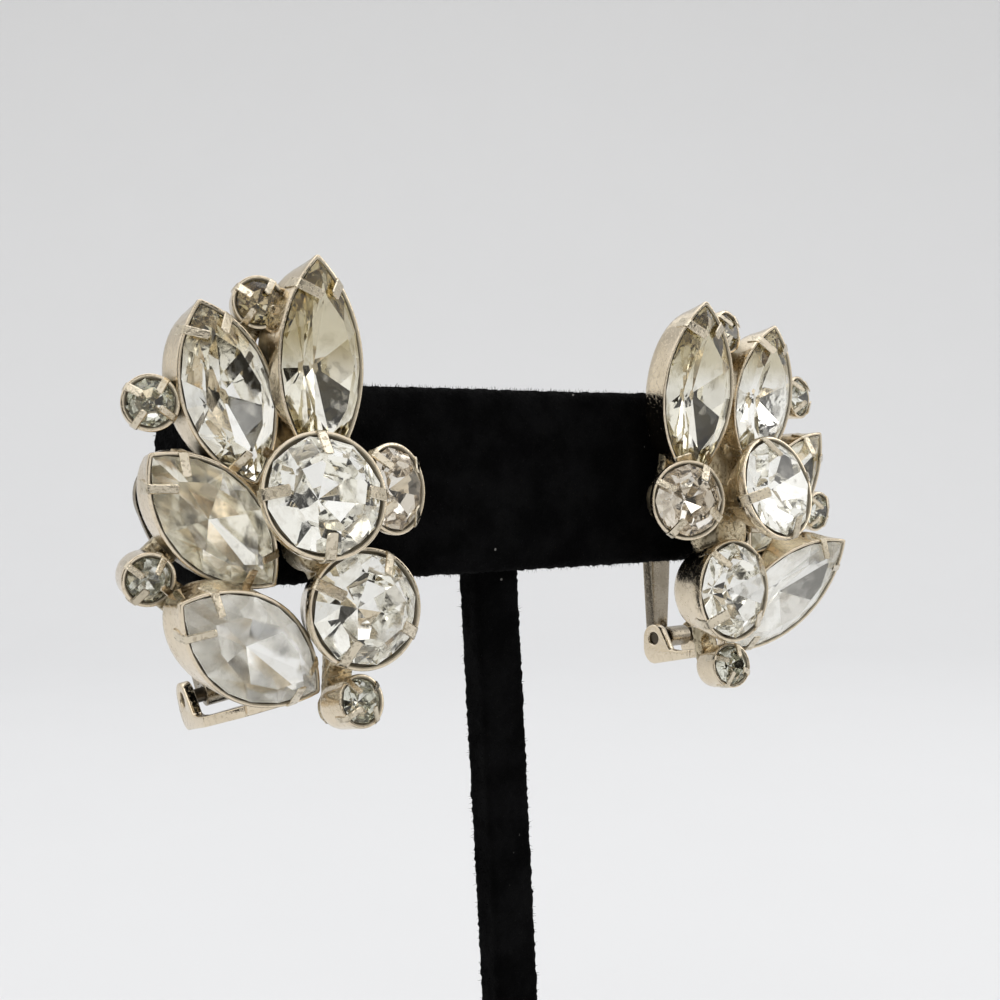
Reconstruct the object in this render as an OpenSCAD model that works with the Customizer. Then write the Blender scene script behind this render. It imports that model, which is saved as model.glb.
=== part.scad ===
// Pair of clip-on crystal cluster earrings, clipped to the crossbar of a velvet T-bar stand.
// Millimetres. X runs along the crossbar, -Y is the front, +Z is up.
// The origin is the centre of the underside of the stand's base.

/* [Stand] */
// Length of the crossbar
bar_length = 55; // [55:1:80]
// Height of the crossbar's front face
bar_height = 15; // [13:0.5:16]
// Thickness of the crossbar from front to back
bar_depth = 8; // [7:0.5:9]
// Height of the crossbar's centre line above the table
bar_centre_height = 92; // [80:1:120]
// Radius of the crossbar's long edges
bar_edge = 1.2; // [0.5:0.1:2]
// Width of the stem just under the crossbar
stem_width = 4.4; // [3.5:0.1:6]
// Thickness of the stem from front to back
stem_depth = 3; // [2.5:0.1:4]
// Lean of the stem in the plane of the crossbar, degrees
stem_lean = 3; // [0:0.5:5]
// Width of the base along the crossbar
base_width = 56; // [48:1:80]
// Depth of the base from front to back
base_depth = 46; // [40:1:70]
// Thickness of the base
base_height = 5; // [4:0.5:10]

/* [Earring pose on the crossbar] */
// Distance from the middle of the crossbar to the middle of an earring
earring_spread = 24.4; // [23:0.1:26]
// Turn of both faces outward, degrees
toe_out = 5.6; // [3:0.1:6]
// Turn of the left earring in its own face, degrees
left_turn = 10.5; // [0:0.5:12]
// How much lower the left earring sits
left_drop = 0.4; // [0:0.1:0.8]
// How much further out the left earring's clip is soldered
left_clip_out = 1.6; // [0:0.1:1.8]

/* [Stones] */
// Table size as a share of the stone
table_ratio = 0.56; // [0.5:0.01:0.62]
// Crown height as a share of the stone's width
crown_ratio = 0.17; // [0.14:0.01:0.2]
// Pavilion depth as a share of the stone's width
pavilion_ratio = 0.32; // [0.28:0.01:0.33]
// Girdle thickness as a share of the stone's width
girdle_ratio = 0.06; // [0.05:0.005:0.07]
// Air between a stone and its cup
stone_gap = 0.06; // [0.05:0.01:0.08]

/* [Setting] */
// Wall thickness of the cups
cup_wall = 0.26; // [0.24:0.02:0.36]
// Thickness of a cup's floor
cup_floor = 0.4; // [0.35:0.05:0.5]
// Thickness of a prong tab
prong_thickness = 0.32; // [0.28:0.02:0.4]
// Thickness of the backing that joins the cups
backing_thickness = 0.9; // [0.8:0.1:1.1]
// Width of the backing's struts
strut_width = 2.2; // [1.8:0.1:2.6]

/* [Clip] */
// Width of the clip's bracket
bracket_width = 6; // [5.6:0.1:6.4]
// Thickness of the bracket's sheet
bracket_sheet = 0.8; // [0.7:0.05:0.9]
// Rise of the bracket's floor towards the front, degrees
floor_slope = 12; // [10:1:14]
// Radius of the hinge eyes
eye_radius = 1.3; // [1.25:0.05:1.35]
// Radius of the hinge pin
pin_radius = 0.55; // [0.5:0.01:0.55]
// Width of the paddle's pad
pad_width = 6; // [5.5:0.25:7.5]
// Thickness of the paddle
paddle_thickness = 0.7; // [0.6:0.05:0.8]

/* [Hidden] */
$fn = 72;

// Columns of the stone table. LENGTH and WIDTH are equal on a round stone.
// OUT, UP and FRONT are the girdle's centre, measured from the middle of the crossbar's front face.
// SPIN leans the long side outward, LEAN_OUT and LEAN_UP tilt the table. PRONG_TURN turns round prongs.
// The last three columns are what the left earring's stone has more of than the right one's.
NAME = 0;
LENGTH = 1;
WIDTH = 2;
OUT = 3;
UP = 4;
FRONT = 5;
SPIN = 6;
LEAN_OUT = 7;
LEAN_UP = 8;
CUP_DEPTH = 9;
FOOT_RATIO = 10;
PRONG_TURN = 11;
LEFT_OUT = 12;
LEFT_UP = 13;
LEFT_SPIN = 14;

STONES = [
    // name           length width   out     up  front spin l.out l.up depth  foot turn  left side: out up spin
    ["navette_inner",    15,   6.8,   -8.3,    7.3,   3.7,    2,  -12,   -6,  2.75,     1,   0,       1.8, 0.5,  -8],
    ["navette_upper",  12.8,   6.5,    0.6,    7.0,   3.6,    9,   -6,   -4,   2.7,     1,   0,         0,   0,   0],
    ["navette_outer",  12.8,   6.4,    3.4,   -1.4,   3.9,   35,   -3,   -9,  2.55,     1,   0,         0,   0,   0],
    ["navette_lower",  14.6,   6.8,    2.6,  -10.6,   4.4,   49,  -15,  -16,   2.9,     1,   0,         0,   0,   0],
    ["round_centre",    8.4,   8.4,   -3.2,   -0.9,   8.1,    0,    0,   13,     4,  0.46,  12,         0,   0,   0],
    ["round_lower",     8.2,   8.2,   -5.8,   -9.7,   5.4,    0,   -2,    2,   4.1,  0.74,  38,         0,   0,   0],
    ["round_inner",     6.1,   6.1,  -10.9,   -1.8,   4.9,    0,  -24,    0,   2.6,  0.55,  60,         1,   0,   0],
    ["small_top",       3.2,   3.2,   -3.2,   12.9,   2.7,    0,    8,    5,   2.1,   0.9,  45,         0,   0,   0],
    ["small_upper",     3.3,   3.3,    6.0,    7.3,   3.5,    0,   10,    5,   2.4,   0.9,  45,         0,   0,   0],
    ["small_outer",     3.1,   3.1,    8.5,   -3.3,   3.7,    0,    2,   -6,   2.6,   0.9,  45,         0,  -1,   0],
    ["small_bottom",    3.3,   3.3,   -4.7,  -16.4,   4.3,    0,  -14,   10,   3.1,   0.9,  65,         0,   0,   0],
];
INNER = 0;
UPPER = 1;
OUTER = 2;
LOWER = 3;
CENTRE = 4;
ROUND_LOWER = 5;
ROUND_INNER = 6;
TOP = 7;
SMALL_UPPER = 8;
SMALL_OUTER = 9;
BOTTOM = 10;

// Pairs of stones whose cups a backing strut joins
STRUTS = [
    [INNER, ROUND_INNER], [INNER, CENTRE], [INNER, TOP], [TOP, UPPER], [UPPER, CENTRE],
    [UPPER, SMALL_UPPER], [CENTRE, OUTER], [OUTER, SMALL_OUTER], [CENTRE, ROUND_INNER],
    [CENTRE, ROUND_LOWER], [ROUND_LOWER, BOTTOM], [SMALL_OUTER, LOWER],
];
// Stones whose cups stand at the corners of the backing's closed middle
WEB = [INNER, UPPER, OUTER, LOWER, CENTRE, ROUND_INNER];
SIDES = ["right", "left"];
RIGHT = SIDES[0];

// Facet corners round the girdle, and corners of the table
RIM_CORNERS = 16;
TABLE_CORNERS = 8;
// Where the facet corners stand along one side of a navette, from tip to tip
SIDE_STEPS = [1, 0.87, 0.58, 0.28, 0, -0.28, -0.58, -0.87, -1];

// Cups and prongs
rim_lift = 0.1;
prong_root = 1.1;
prong_clear = 0.06;
prong_shoulder = 0.15;
prong_reach_least = 0.3;
prong_reach_share = 0.08;
prong_width_least = 0.35;
prong_width_share = 0.07;
round_prongs = 4;
navette_prong_step = 0.72;
post_radius = 1.2;
prong_outset_share = 0.7;
crown_clear = 0.08;
// Lump of solder between the three round cups, in the earring's own frame
solder_out = -4.2;
solder_up = -4.7;
solder_front = 4.4;
solder_radius = 2.1;
backing_back = 0.8;
backing_front = backing_back + backing_thickness;
pad_share = 0.62;
// The blend between a cup and its floor may overlap by this much
fuse = 0.05;

// Clip, in the earring's own frame: out, up and front as in the stone table
hinge_out = 0.4;
hinge_up = -15.2;
hinge_front = -(bar_depth - 1.2);
bracket_bottom = -17.6;
bracket_rise = -8.5;
floor_back = 2.6;
floor_end = backing_front - hinge_front;
eye_clear = 0.02;
knuckle_clear = 0.05;
knuckle_radius = 0.95;
knuckle_length = 2.6;
knuckle_bore = pin_radius + knuckle_clear;
ear_bore = pin_radius + eye_clear;
ear_top_step = eye_radius * sin(45);
ear_slope = 2;
ear_heel = 0.3;
ear_chin = 1;
ear_length = 4.6;
tongue_out = -0.6;
tongue_width = 3.6;
pin_recess = 0.25;
neck_width = 2.2;
neck_top_width = 3.4;
neck_web = 1;
neck_wall = 0.5;
neck_wall_depth = 0.7;
pad_shoulder_up = -7;
pad_top_up = 3;
paddle_front = -(bar_depth + 0.55);

// Stand
stem_tenon = 4;
base_tenon = 3;
stem_socket_gap = 0.05;
stem_taper = 0.92;
base_corner = 8;
bar_shift = -tan(stem_lean) * (bar_centre_height - base_height);

// Facet maths

// A stone as it stands on one side's earring
function on_side(stone, side) = side == RIGHT ? stone : [for (i = [NAME : PRONG_TURN])
    i == OUT ? stone[OUT] + stone[LEFT_OUT]
    : i == UP ? stone[UP] + stone[LEFT_UP]
    : i == SPIN ? stone[SPIN] + stone[LEFT_SPIN]
    : stone[i]];

function is_round(stone) = stone[LENGTH] == stone[WIDTH];
function cross2(a, b) = a[0] * b[1] - a[1] * b[0];
function arc_radius(l, w) = (l * l + w * w) / (4 * w);

// Corner of the girdle outline, counter-clockwise from the top
function round_corner(w, j) =
    let (angle = 90 + j * 360 / RIM_CORNERS)
    [w / 2 * cos(angle), w / 2 * sin(angle)];

function navette_corner(l, w, j) =
    let (
        r = arc_radius(l, w),
        half_arc = asin(l / 2 / r),
        left = j <= TABLE_CORNERS,
        step = left ? SIDE_STEPS[j] : SIDE_STEPS[RIM_CORNERS - j],
        angle = half_arc * step,
        x = r * cos(angle) - (r - w / 2)
    )
    [left ? -x : x, r * sin(angle)];

function rim_corner(l, w, j) =
    let (k = (j + RIM_CORNERS) % RIM_CORNERS)
    l == w ? round_corner(w, k) : navette_corner(l, w, k);

// Height of a lower girdle corner. Even corners rise so that each pavilion facet is flat.
function lower_rim_height(l, w, j) =
    let (
        pavilion = w * pavilion_ratio,
        half_girdle = w * girdle_ratio / 2,
        a = rim_corner(l, w, j - 1),
        b = rim_corner(l, w, j + 1),
        corner = rim_corner(l, w, j),
        share = cross2(a, b - a) / cross2(corner, b - a)
    )
    j % 2 == 1 ? -half_girdle : -pavilion + (pavilion - half_girdle) / share;

// A cut stone: table, star and half facets, girdle, pavilion mains and a point.
// It lies with its girdle on z = 0, its long side along y and its table up.
module cut_stone(l, w) {
    half_girdle = w * girdle_ratio / 2;
    crown = half_girdle + w * crown_ratio;
    table_points = [for (k = [0 : TABLE_CORNERS - 1])
        let (p = rim_corner(l, w, 2 * k) * table_ratio) [p[0], p[1], crown]];
    upper_points = [for (j = [0 : RIM_CORNERS - 1])
        let (p = rim_corner(l, w, j)) [p[0], p[1], half_girdle]];
    lower_points = [for (j = [0 : RIM_CORNERS - 1])
        let (p = rim_corner(l, w, j)) [p[0], p[1], lower_rim_height(l, w, j)]];
    upper = TABLE_CORNERS;
    lower = upper + RIM_CORNERS;
    culet = lower + RIM_CORNERS;
    function up(j) = upper + (j + RIM_CORNERS) % RIM_CORNERS;
    function low(j) = lower + (j + RIM_CORNERS) % RIM_CORNERS;
    function tab(k) = k % TABLE_CORNERS;
    table = [[for (k = [TABLE_CORNERS - 1 : -1 : 0]) k]];
    stars = [for (k = [0 : TABLE_CORNERS - 1]) [tab(k + 1), up(2 * k + 1), k]];
    halves = [for (k = [0 : TABLE_CORNERS - 1]) each [
        [up(2 * k), up(2 * k - 1), k],
        [up(2 * k + 1), up(2 * k), k]]];
    girdle = [for (j = [0 : RIM_CORNERS - 1]) [up(j), up(j + 1), low(j + 1), low(j)]];
    mains = [for (k = [0 : TABLE_CORNERS - 1]) [low(2 * k - 1), low(2 * k), low(2 * k + 1), culet]];
    polyhedron(
        points = concat(table_points, upper_points, lower_points, [[0, 0, -w * pavilion_ratio]]),
        faces = concat(table, stars, halves, girdle, mains)
    );
}

// Two equal arcs that meet in a point at each end, grown outward by the given amount
module lens(l, w, grow) {
    r = arc_radius(l, w);
    offset_x = r - w / 2;
    intersection() {
        translate([-offset_x, 0]) circle(r + grow);
        translate([offset_x, 0]) circle(r + grow);
    }
}

// Puts a child from the stone's own frame into the earring's frame
module at_stone(stone) {
    translate([stone[OUT], -stone[FRONT], stone[UP]])
        rotate([0, 0, stone[LEAN_OUT]])
        rotate([-stone[LEAN_UP], 0, 0])
        rotate([90, 0, 0])
        rotate([0, 0, -stone[SPIN]])
        children();
}

// Cup, outside only
module cup_body(stone) {
    grow = stone_gap + cup_wall;
    rim = stone[WIDTH] * girdle_ratio / 2 + rim_lift;
    depth = stone[CUP_DEPTH];
    if (is_round(stone)) {
        r = stone[WIDTH] / 2 + grow;
        foot = r * stone[FOOT_RATIO];
        rotate_extrude() polygon([[0, -depth], [foot, -depth], [r, -rim], [r, rim], [0, rim]]);
    } else {
        translate([0, 0, -depth]) linear_extrude(depth + rim) lens(stone[LENGTH], stone[WIDTH], grow);
    }
}

// Space that the stone and its air gap take out of the metal
module cup_pocket(stone) {
    rim = stone[WIDTH] * girdle_ratio / 2 + rim_lift;
    depth = stone[CUP_DEPTH] - cup_floor;
    pavilion = stone[WIDTH] * pavilion_ratio + stone_gap;
    seat = stone[WIDTH] * girdle_ratio;
    if (is_round(stone)) {
        r = stone[WIDTH] / 2 + stone_gap;
        rotate_extrude() polygon([[0, -pavilion], [r, -seat], [r, rim + fuse], [0, rim + fuse]]);
    } else {
        translate([0, 0, -depth])
            linear_extrude(depth + rim + fuse) lens(stone[LENGTH], stone[WIDTH], stone_gap);
    }
}

// Space over the girdle that no other stone's cup may enter
module crown_space(stone) {
    crown = stone[WIDTH] * (girdle_ratio / 2 + crown_ratio) + crown_clear;
    if (is_round(stone)) cylinder(r = stone[WIDTH] / 2 + stone_gap, h = crown);
    else linear_extrude(crown) lens(stone[LENGTH], stone[WIDTH], stone_gap);
}

// Prong tab in section: x runs outward from the girdle's edge, y is the height over the girdle
module prong_section(stone, reach) {
    half_girdle = stone[WIDTH] * girdle_ratio / 2;
    slope = crown_ratio / ((1 - table_ratio) / 2);
    inside = stone_gap + cup_wall / 2;
    outside = stone_gap + cup_wall + prong_thickness * prong_outset_share;
    under = half_girdle + prong_clear;
    polygon([
        [inside, -prong_root], [outside, -prong_root], [outside, under + prong_shoulder],
        [-reach, under + slope * reach + prong_thickness], [-reach, under + slope * reach],
        [inside, under],
    ]);
}

module prong(stone, reach, width) {
    rotate([90, 0, 0]) translate([0, 0, -width / 2]) linear_extrude(width) prong_section(stone, reach);
}

module prongs(stone) {
    w = stone[WIDTH];
    reach = prong_reach_least + w * prong_reach_share;
    width = prong_width_least + w * prong_width_share;
    if (is_round(stone)) {
        for (i = [0 : round_prongs - 1])
            rotate([0, 0, stone[PRONG_TURN] + i * 360 / round_prongs])
                translate([w / 2, 0, 0]) prong(stone, reach, width);
    } else {
        r = arc_radius(stone[LENGTH], w);
        half_arc = asin(stone[LENGTH] / 2 / r);
        for (side = [0, 180]) for (end = [-1, 1])
            rotate([0, 0, side])
                translate([w / 2 - r, 0, 0])
                rotate([0, 0, end * half_arc * navette_prong_step])
                translate([r, 0, 0]) prong(stone, reach, width);
    }
}

// Centre of a cup's floor in the earring's plane: a leaning stone's floor moves the other way
function foot_place(stone) = [
    stone[OUT] - stone[CUP_DEPTH] * sin(stone[LEAN_OUT]) * cos(stone[LEAN_UP]),
    stone[UP] - stone[CUP_DEPTH] * sin(stone[LEAN_UP])
];
function foot_front(stone) =
    stone[FRONT] - stone[CUP_DEPTH] * cos(stone[LEAN_OUT]) * cos(stone[LEAN_UP]);

// Backing in the earring's plane: a closed middle, a pad under each cup and the struts between them
module backing_outline(stones) {
    polygon([for (i = WEB) foot_place(stones[i])]);
    for (stone = stones) translate(foot_place(stone)) {
        if (is_round(stone)) circle(stone[WIDTH] / 2 * pad_share);
        else rotate(-stone[SPIN]) lens(stone[LENGTH] * pad_share, stone[WIDTH] * pad_share, 0);
    }
    for (pair = STRUTS) {
        a = foot_place(stones[pair[0]]);
        b = foot_place(stones[pair[1]]);
        translate(a) rotate(atan2(b[1] - a[1], b[0] - a[0]))
            translate([0, -strut_width / 2]) square([norm(b - a), strut_width]);
    }
}

module backing(stones) {
    translate([0, -backing_back, 0]) rotate([90, 0, 0])
        linear_extrude(backing_thickness) backing_outline(stones);
}

module posts(stones) {
    for (stone = stones) {
        place = foot_place(stone);
        top = foot_front(stone) + cup_floor / 2;
        if (top > backing_back + fuse)
            translate([place[0], -backing_back, place[1]])
                rotate([90, 0, 0]) cylinder(r = post_radius, h = top - backing_back);
    }
}

module solder() {
    translate([solder_out, -backing_back, solder_up])
        rotate([90, 0, 0]) cylinder(r = solder_radius, h = solder_front - backing_back);
}

// Turns a shape drawn in (front, up) into a sheet whose thickness runs outward
module side_sheet(from_out, thickness) {
    translate([from_out, 0, 0]) rotate([90, 0, 90]) linear_extrude(thickness) mirror([1, 0]) children();
}

// Height of the underside of the bracket's floor at a distance in front of the hinge
function floor_up(ahead) = bracket_bottom + ahead * tan(floor_slope);

// One ear of the bracket, in (front, up), round its hinge eye
module ear_outline() {
    translate([hinge_front, hinge_up]) circle(eye_radius);
    polygon([
        [hinge_front, hinge_up + eye_radius], [hinge_front + ear_top_step, hinge_up + ear_top_step],
        [hinge_front + ear_slope, floor_up(ear_slope) + bracket_sheet + ear_heel],
        [hinge_front + ear_length, floor_up(ear_length) + bracket_sheet],
        [hinge_front + ear_length, floor_up(ear_length)],
        [hinge_front, bracket_bottom], [hinge_front - eye_radius, bracket_bottom + ear_chin],
        [hinge_front - eye_radius, hinge_up],
    ]);
}

// Two ears, a floor that rises to the front and narrows there, and a tongue up the backing
module bracket() {
    inner_edge = hinge_out - bracket_width / 2;
    tongue_edge = tongue_out - tongue_width / 2;
    for (edge = [inner_edge, inner_edge + bracket_width - bracket_sheet])
        side_sheet(edge, bracket_sheet) ear_outline();
    intersection() {
        side_sheet(inner_edge, bracket_width) polygon([
            for (ahead = [floor_back, floor_end]) [hinge_front + ahead, floor_up(ahead)],
            for (ahead = [floor_end, floor_back]) [hinge_front + ahead, floor_up(ahead) + bracket_sheet],
        ]);
        translate([0, 0, bracket_bottom]) linear_extrude(bracket_rise - bracket_bottom) polygon([
            [inner_edge, -hinge_front], [inner_edge, -hinge_front - ear_length],
            [tongue_edge, -backing_front], [tongue_edge + tongue_width, -backing_front],
            [inner_edge + bracket_width, -hinge_front - ear_length], [inner_edge + bracket_width, -hinge_front],
        ]);
    }
    translate([tongue_edge, -backing_front, floor_up(floor_end)])
        cube([tongue_width, backing_thickness, bracket_rise - floor_up(floor_end)]);
}

module across_hinge(radius, from_out, length) {
    translate([from_out, -hinge_front, hinge_up]) rotate([0, 90, 0]) cylinder(r = radius, h = length);
}

// The soldered metal of one earring: cups, prongs, backing, solder and the clip's bracket
module setting(stones, clip_out) {
    difference() {
        union() {
            difference() {
                union() {
                    backing(stones);
                    posts(stones);
                    solder();
                    translate([clip_out, 0, 0]) bracket();
                    for (stone = stones) at_stone(stone) cup_body(stone);
                }
                for (stone = stones) at_stone(stone) crown_space(stone);
            }
            for (stone = stones) at_stone(stone) prongs(stone);
        }
        for (stone = stones) at_stone(stone) cup_pocket(stone);
        translate([clip_out, 0, 0]) across_hinge(ear_bore, hinge_out - bracket_width, 2 * bracket_width);
    }
}

// Clip paddle: a knuckle on the pin, a neck behind the crossbar and a round-ended pad
module paddle_outline() {
    pad_radius = pad_width / 2;
    neck_bottom = hinge_up - neck_web / 2;
    translate([hinge_out, pad_top_up - pad_radius]) circle(pad_radius);
    polygon([
        [hinge_out - neck_width / 2, neck_bottom], [hinge_out + neck_width / 2, neck_bottom],
        [hinge_out + neck_top_width / 2, pad_shoulder_up], [hinge_out + pad_radius, pad_top_up - pad_radius],
        [hinge_out - pad_radius, pad_top_up - pad_radius], [hinge_out - neck_top_width / 2, pad_shoulder_up],
    ]);
}

// The neck's turned-back edges
module neck_walls() {
    for (side = [-1, 1]) polygon([
        [hinge_out + side * neck_width / 2, hinge_up], [hinge_out + side * neck_top_width / 2, pad_shoulder_up],
        [hinge_out + side * (neck_top_width / 2 - neck_wall), pad_shoulder_up],
        [hinge_out + side * (neck_width / 2 - neck_wall), hinge_up],
    ]);
}

module clip_paddle() {
    paddle_back = paddle_front - paddle_thickness;
    difference() {
        union() {
            translate([0, -paddle_back, 0])
                rotate([90, 0, 0]) linear_extrude(paddle_thickness) paddle_outline();
            translate([0, -paddle_back + neck_wall_depth, 0])
                rotate([90, 0, 0]) linear_extrude(neck_wall_depth + fuse) neck_walls();
            across_hinge(knuckle_radius, hinge_out - knuckle_length / 2, knuckle_length);
            translate([hinge_out - neck_width / 2, -hinge_front, hinge_up - neck_web / 2])
                cube([neck_width, hinge_front - paddle_front + fuse, neck_web]);
        }
        across_hinge(knuckle_bore, hinge_out - bracket_width, 2 * bracket_width);
    }
}

module hinge_pin() {
    across_hinge(pin_radius, hinge_out - bracket_width / 2 + pin_recess, bracket_width - 2 * pin_recess);
}

// Puts an earring on the crossbar: the left one is mirrored and turned in its face
module on_bar(side) {
    translate([bar_shift, -bar_depth / 2, bar_centre_height])
        if (side == RIGHT) {
            translate([earring_spread, 0, 0]) rotate([0, 0, toe_out]) children();
        } else {
            mirror([1, 0, 0]) translate([earring_spread, 0, -left_drop])
                rotate([0, 0, toe_out]) rotate([0, left_turn, 0]) children();
        }
}

module rounded_outline(width, depth, corner) {
    square([width - 2 * corner, depth], center = true);
    square([width, depth - 2 * corner], center = true);
    for (x = [-1, 1]) for (y = [-1, 1])
        translate([x * (width / 2 - corner), y * (depth / 2 - corner)]) circle(corner);
}

// Stem with its two tenons, drawn in (x, z) and grown for the sockets
module stem_body(grow) {
    bottom = base_height - base_tenon;
    top = bar_centre_height - bar_height / 2 + stem_tenon;
    x_bottom = -tan(stem_lean) * (bottom - base_height);
    x_top = -tan(stem_lean) * (top - base_height);
    half_top = stem_width / 2 + grow;
    half_bottom = stem_width * stem_taper / 2 + grow;
    translate([0, stem_depth / 2 + grow, 0]) rotate([90, 0, 0])
        linear_extrude(stem_depth + 2 * grow)
        polygon([
            [x_bottom - half_bottom, bottom - grow], [x_bottom + half_bottom, bottom - grow],
            [x_top + half_top, top + grow], [x_top - half_top, top + grow],
        ]);
}

module stand_bar() {
    difference() {
        translate([bar_shift - bar_length / 2, 0, bar_centre_height])
            rotate([90, 0, 90]) linear_extrude(bar_length)
            rounded_outline(bar_depth, bar_height, bar_edge);
        stem_body(stem_socket_gap);
    }
}

module stand_stem() {
    stem_body(0);
}

module stand_base() {
    difference() {
        linear_extrude(base_height) rounded_outline(base_width, base_depth, base_corner);
        stem_body(stem_socket_gap);
    }
}

for (side = SIDES) {
    stones = [for (stone = STONES) on_side(stone, side)];
    clip_out = side == RIGHT ? 0 : left_clip_out;
    for (stone = stones)
        color("aliceblue") on_bar(side) at_stone(stone) cut_stone(stone[LENGTH], stone[WIDTH]);
    color("silver") on_bar(side) setting(stones, clip_out);
    color("silver") on_bar(side) translate([clip_out, 0, 0]) clip_paddle();
    color("gray") on_bar(side) translate([clip_out, 0, 0]) hinge_pin();
}
color([0.03, 0.03, 0.03]) stand_bar();
color([0.03, 0.03, 0.03]) stand_stem();
color([0.03, 0.03, 0.03]) stand_base();
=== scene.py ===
"""A pair of clip-on crystal cluster earrings on a black velvet T-bar stand.

Every mesh is drawn in millimetres in the part's own frame and written in metres.
"""
import logging
import math
import random
from dataclasses import dataclass, field, replace
from enum import Enum
from typing import Any, Sequence, Union

import bmesh
import bpy
from mathutils import Matrix, Vector, noise


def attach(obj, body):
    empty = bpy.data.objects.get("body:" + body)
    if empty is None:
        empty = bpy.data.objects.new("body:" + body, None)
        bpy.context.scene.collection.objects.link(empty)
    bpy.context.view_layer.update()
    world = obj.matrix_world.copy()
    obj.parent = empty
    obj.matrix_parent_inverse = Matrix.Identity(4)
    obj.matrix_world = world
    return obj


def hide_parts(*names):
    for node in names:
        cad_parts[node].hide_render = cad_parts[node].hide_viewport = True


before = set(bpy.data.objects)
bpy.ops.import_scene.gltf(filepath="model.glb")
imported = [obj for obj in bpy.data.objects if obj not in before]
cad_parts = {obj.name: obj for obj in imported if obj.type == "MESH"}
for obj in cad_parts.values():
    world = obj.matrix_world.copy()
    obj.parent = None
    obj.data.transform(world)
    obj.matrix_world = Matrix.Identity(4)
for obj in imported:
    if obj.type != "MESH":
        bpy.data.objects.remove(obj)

LOG = logging.getLogger("earrings")
MM = 0.001
IN_MM = Matrix.Scale(1 / MM, 4)  # keeps a draft in millimetres while its modifiers run
Finish = bpy.types.Material
Flat = Sequence[tuple[float, float]]
Colour = Sequence[float]
Point = Sequence[float]
Ring = list[Vector]


class Side(Enum):
    """Which earring of the pair."""

    RIGHT = "right"
    LEFT = "left"


class Slot(Enum):
    """Material slots of the record."""

    CRYSTAL = "crystal"
    PLATE = "plated_metal"
    STEEL = "hinge_steel"
    VELVET = "velvet"


class Cut(Enum):
    """Outline of a stone."""

    ROUND = "round"
    NAVETTE = "navette"


@dataclass(frozen=True)
class Socket:
    """One output of a node, with arithmetic that adds Math nodes."""

    sheet: "NodeSheet"
    out: bpy.types.NodeSocket

    def __add__(self, other: "Feed") -> "Socket":
        """Sum."""
        return self.sheet.math("ADD", self, other)

    def __radd__(self, other: "Feed") -> "Socket":
        """Sum with a number on the left."""
        return self.sheet.math("ADD", other, self)

    def __sub__(self, other: "Feed") -> "Socket":
        """Difference."""
        return self.sheet.math("SUBTRACT", self, other)

    def __rsub__(self, other: "Feed") -> "Socket":
        """Difference with a number on the left."""
        return self.sheet.math("SUBTRACT", other, self)

    def __mul__(self, other: "Feed") -> "Socket":
        """Product."""
        return self.sheet.math("MULTIPLY", self, other)

    def __rmul__(self, other: "Feed") -> "Socket":
        """Product with a number on the left."""
        return self.sheet.math("MULTIPLY", other, self)


Feed = Union[Socket, float, Sequence[float]]


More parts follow.
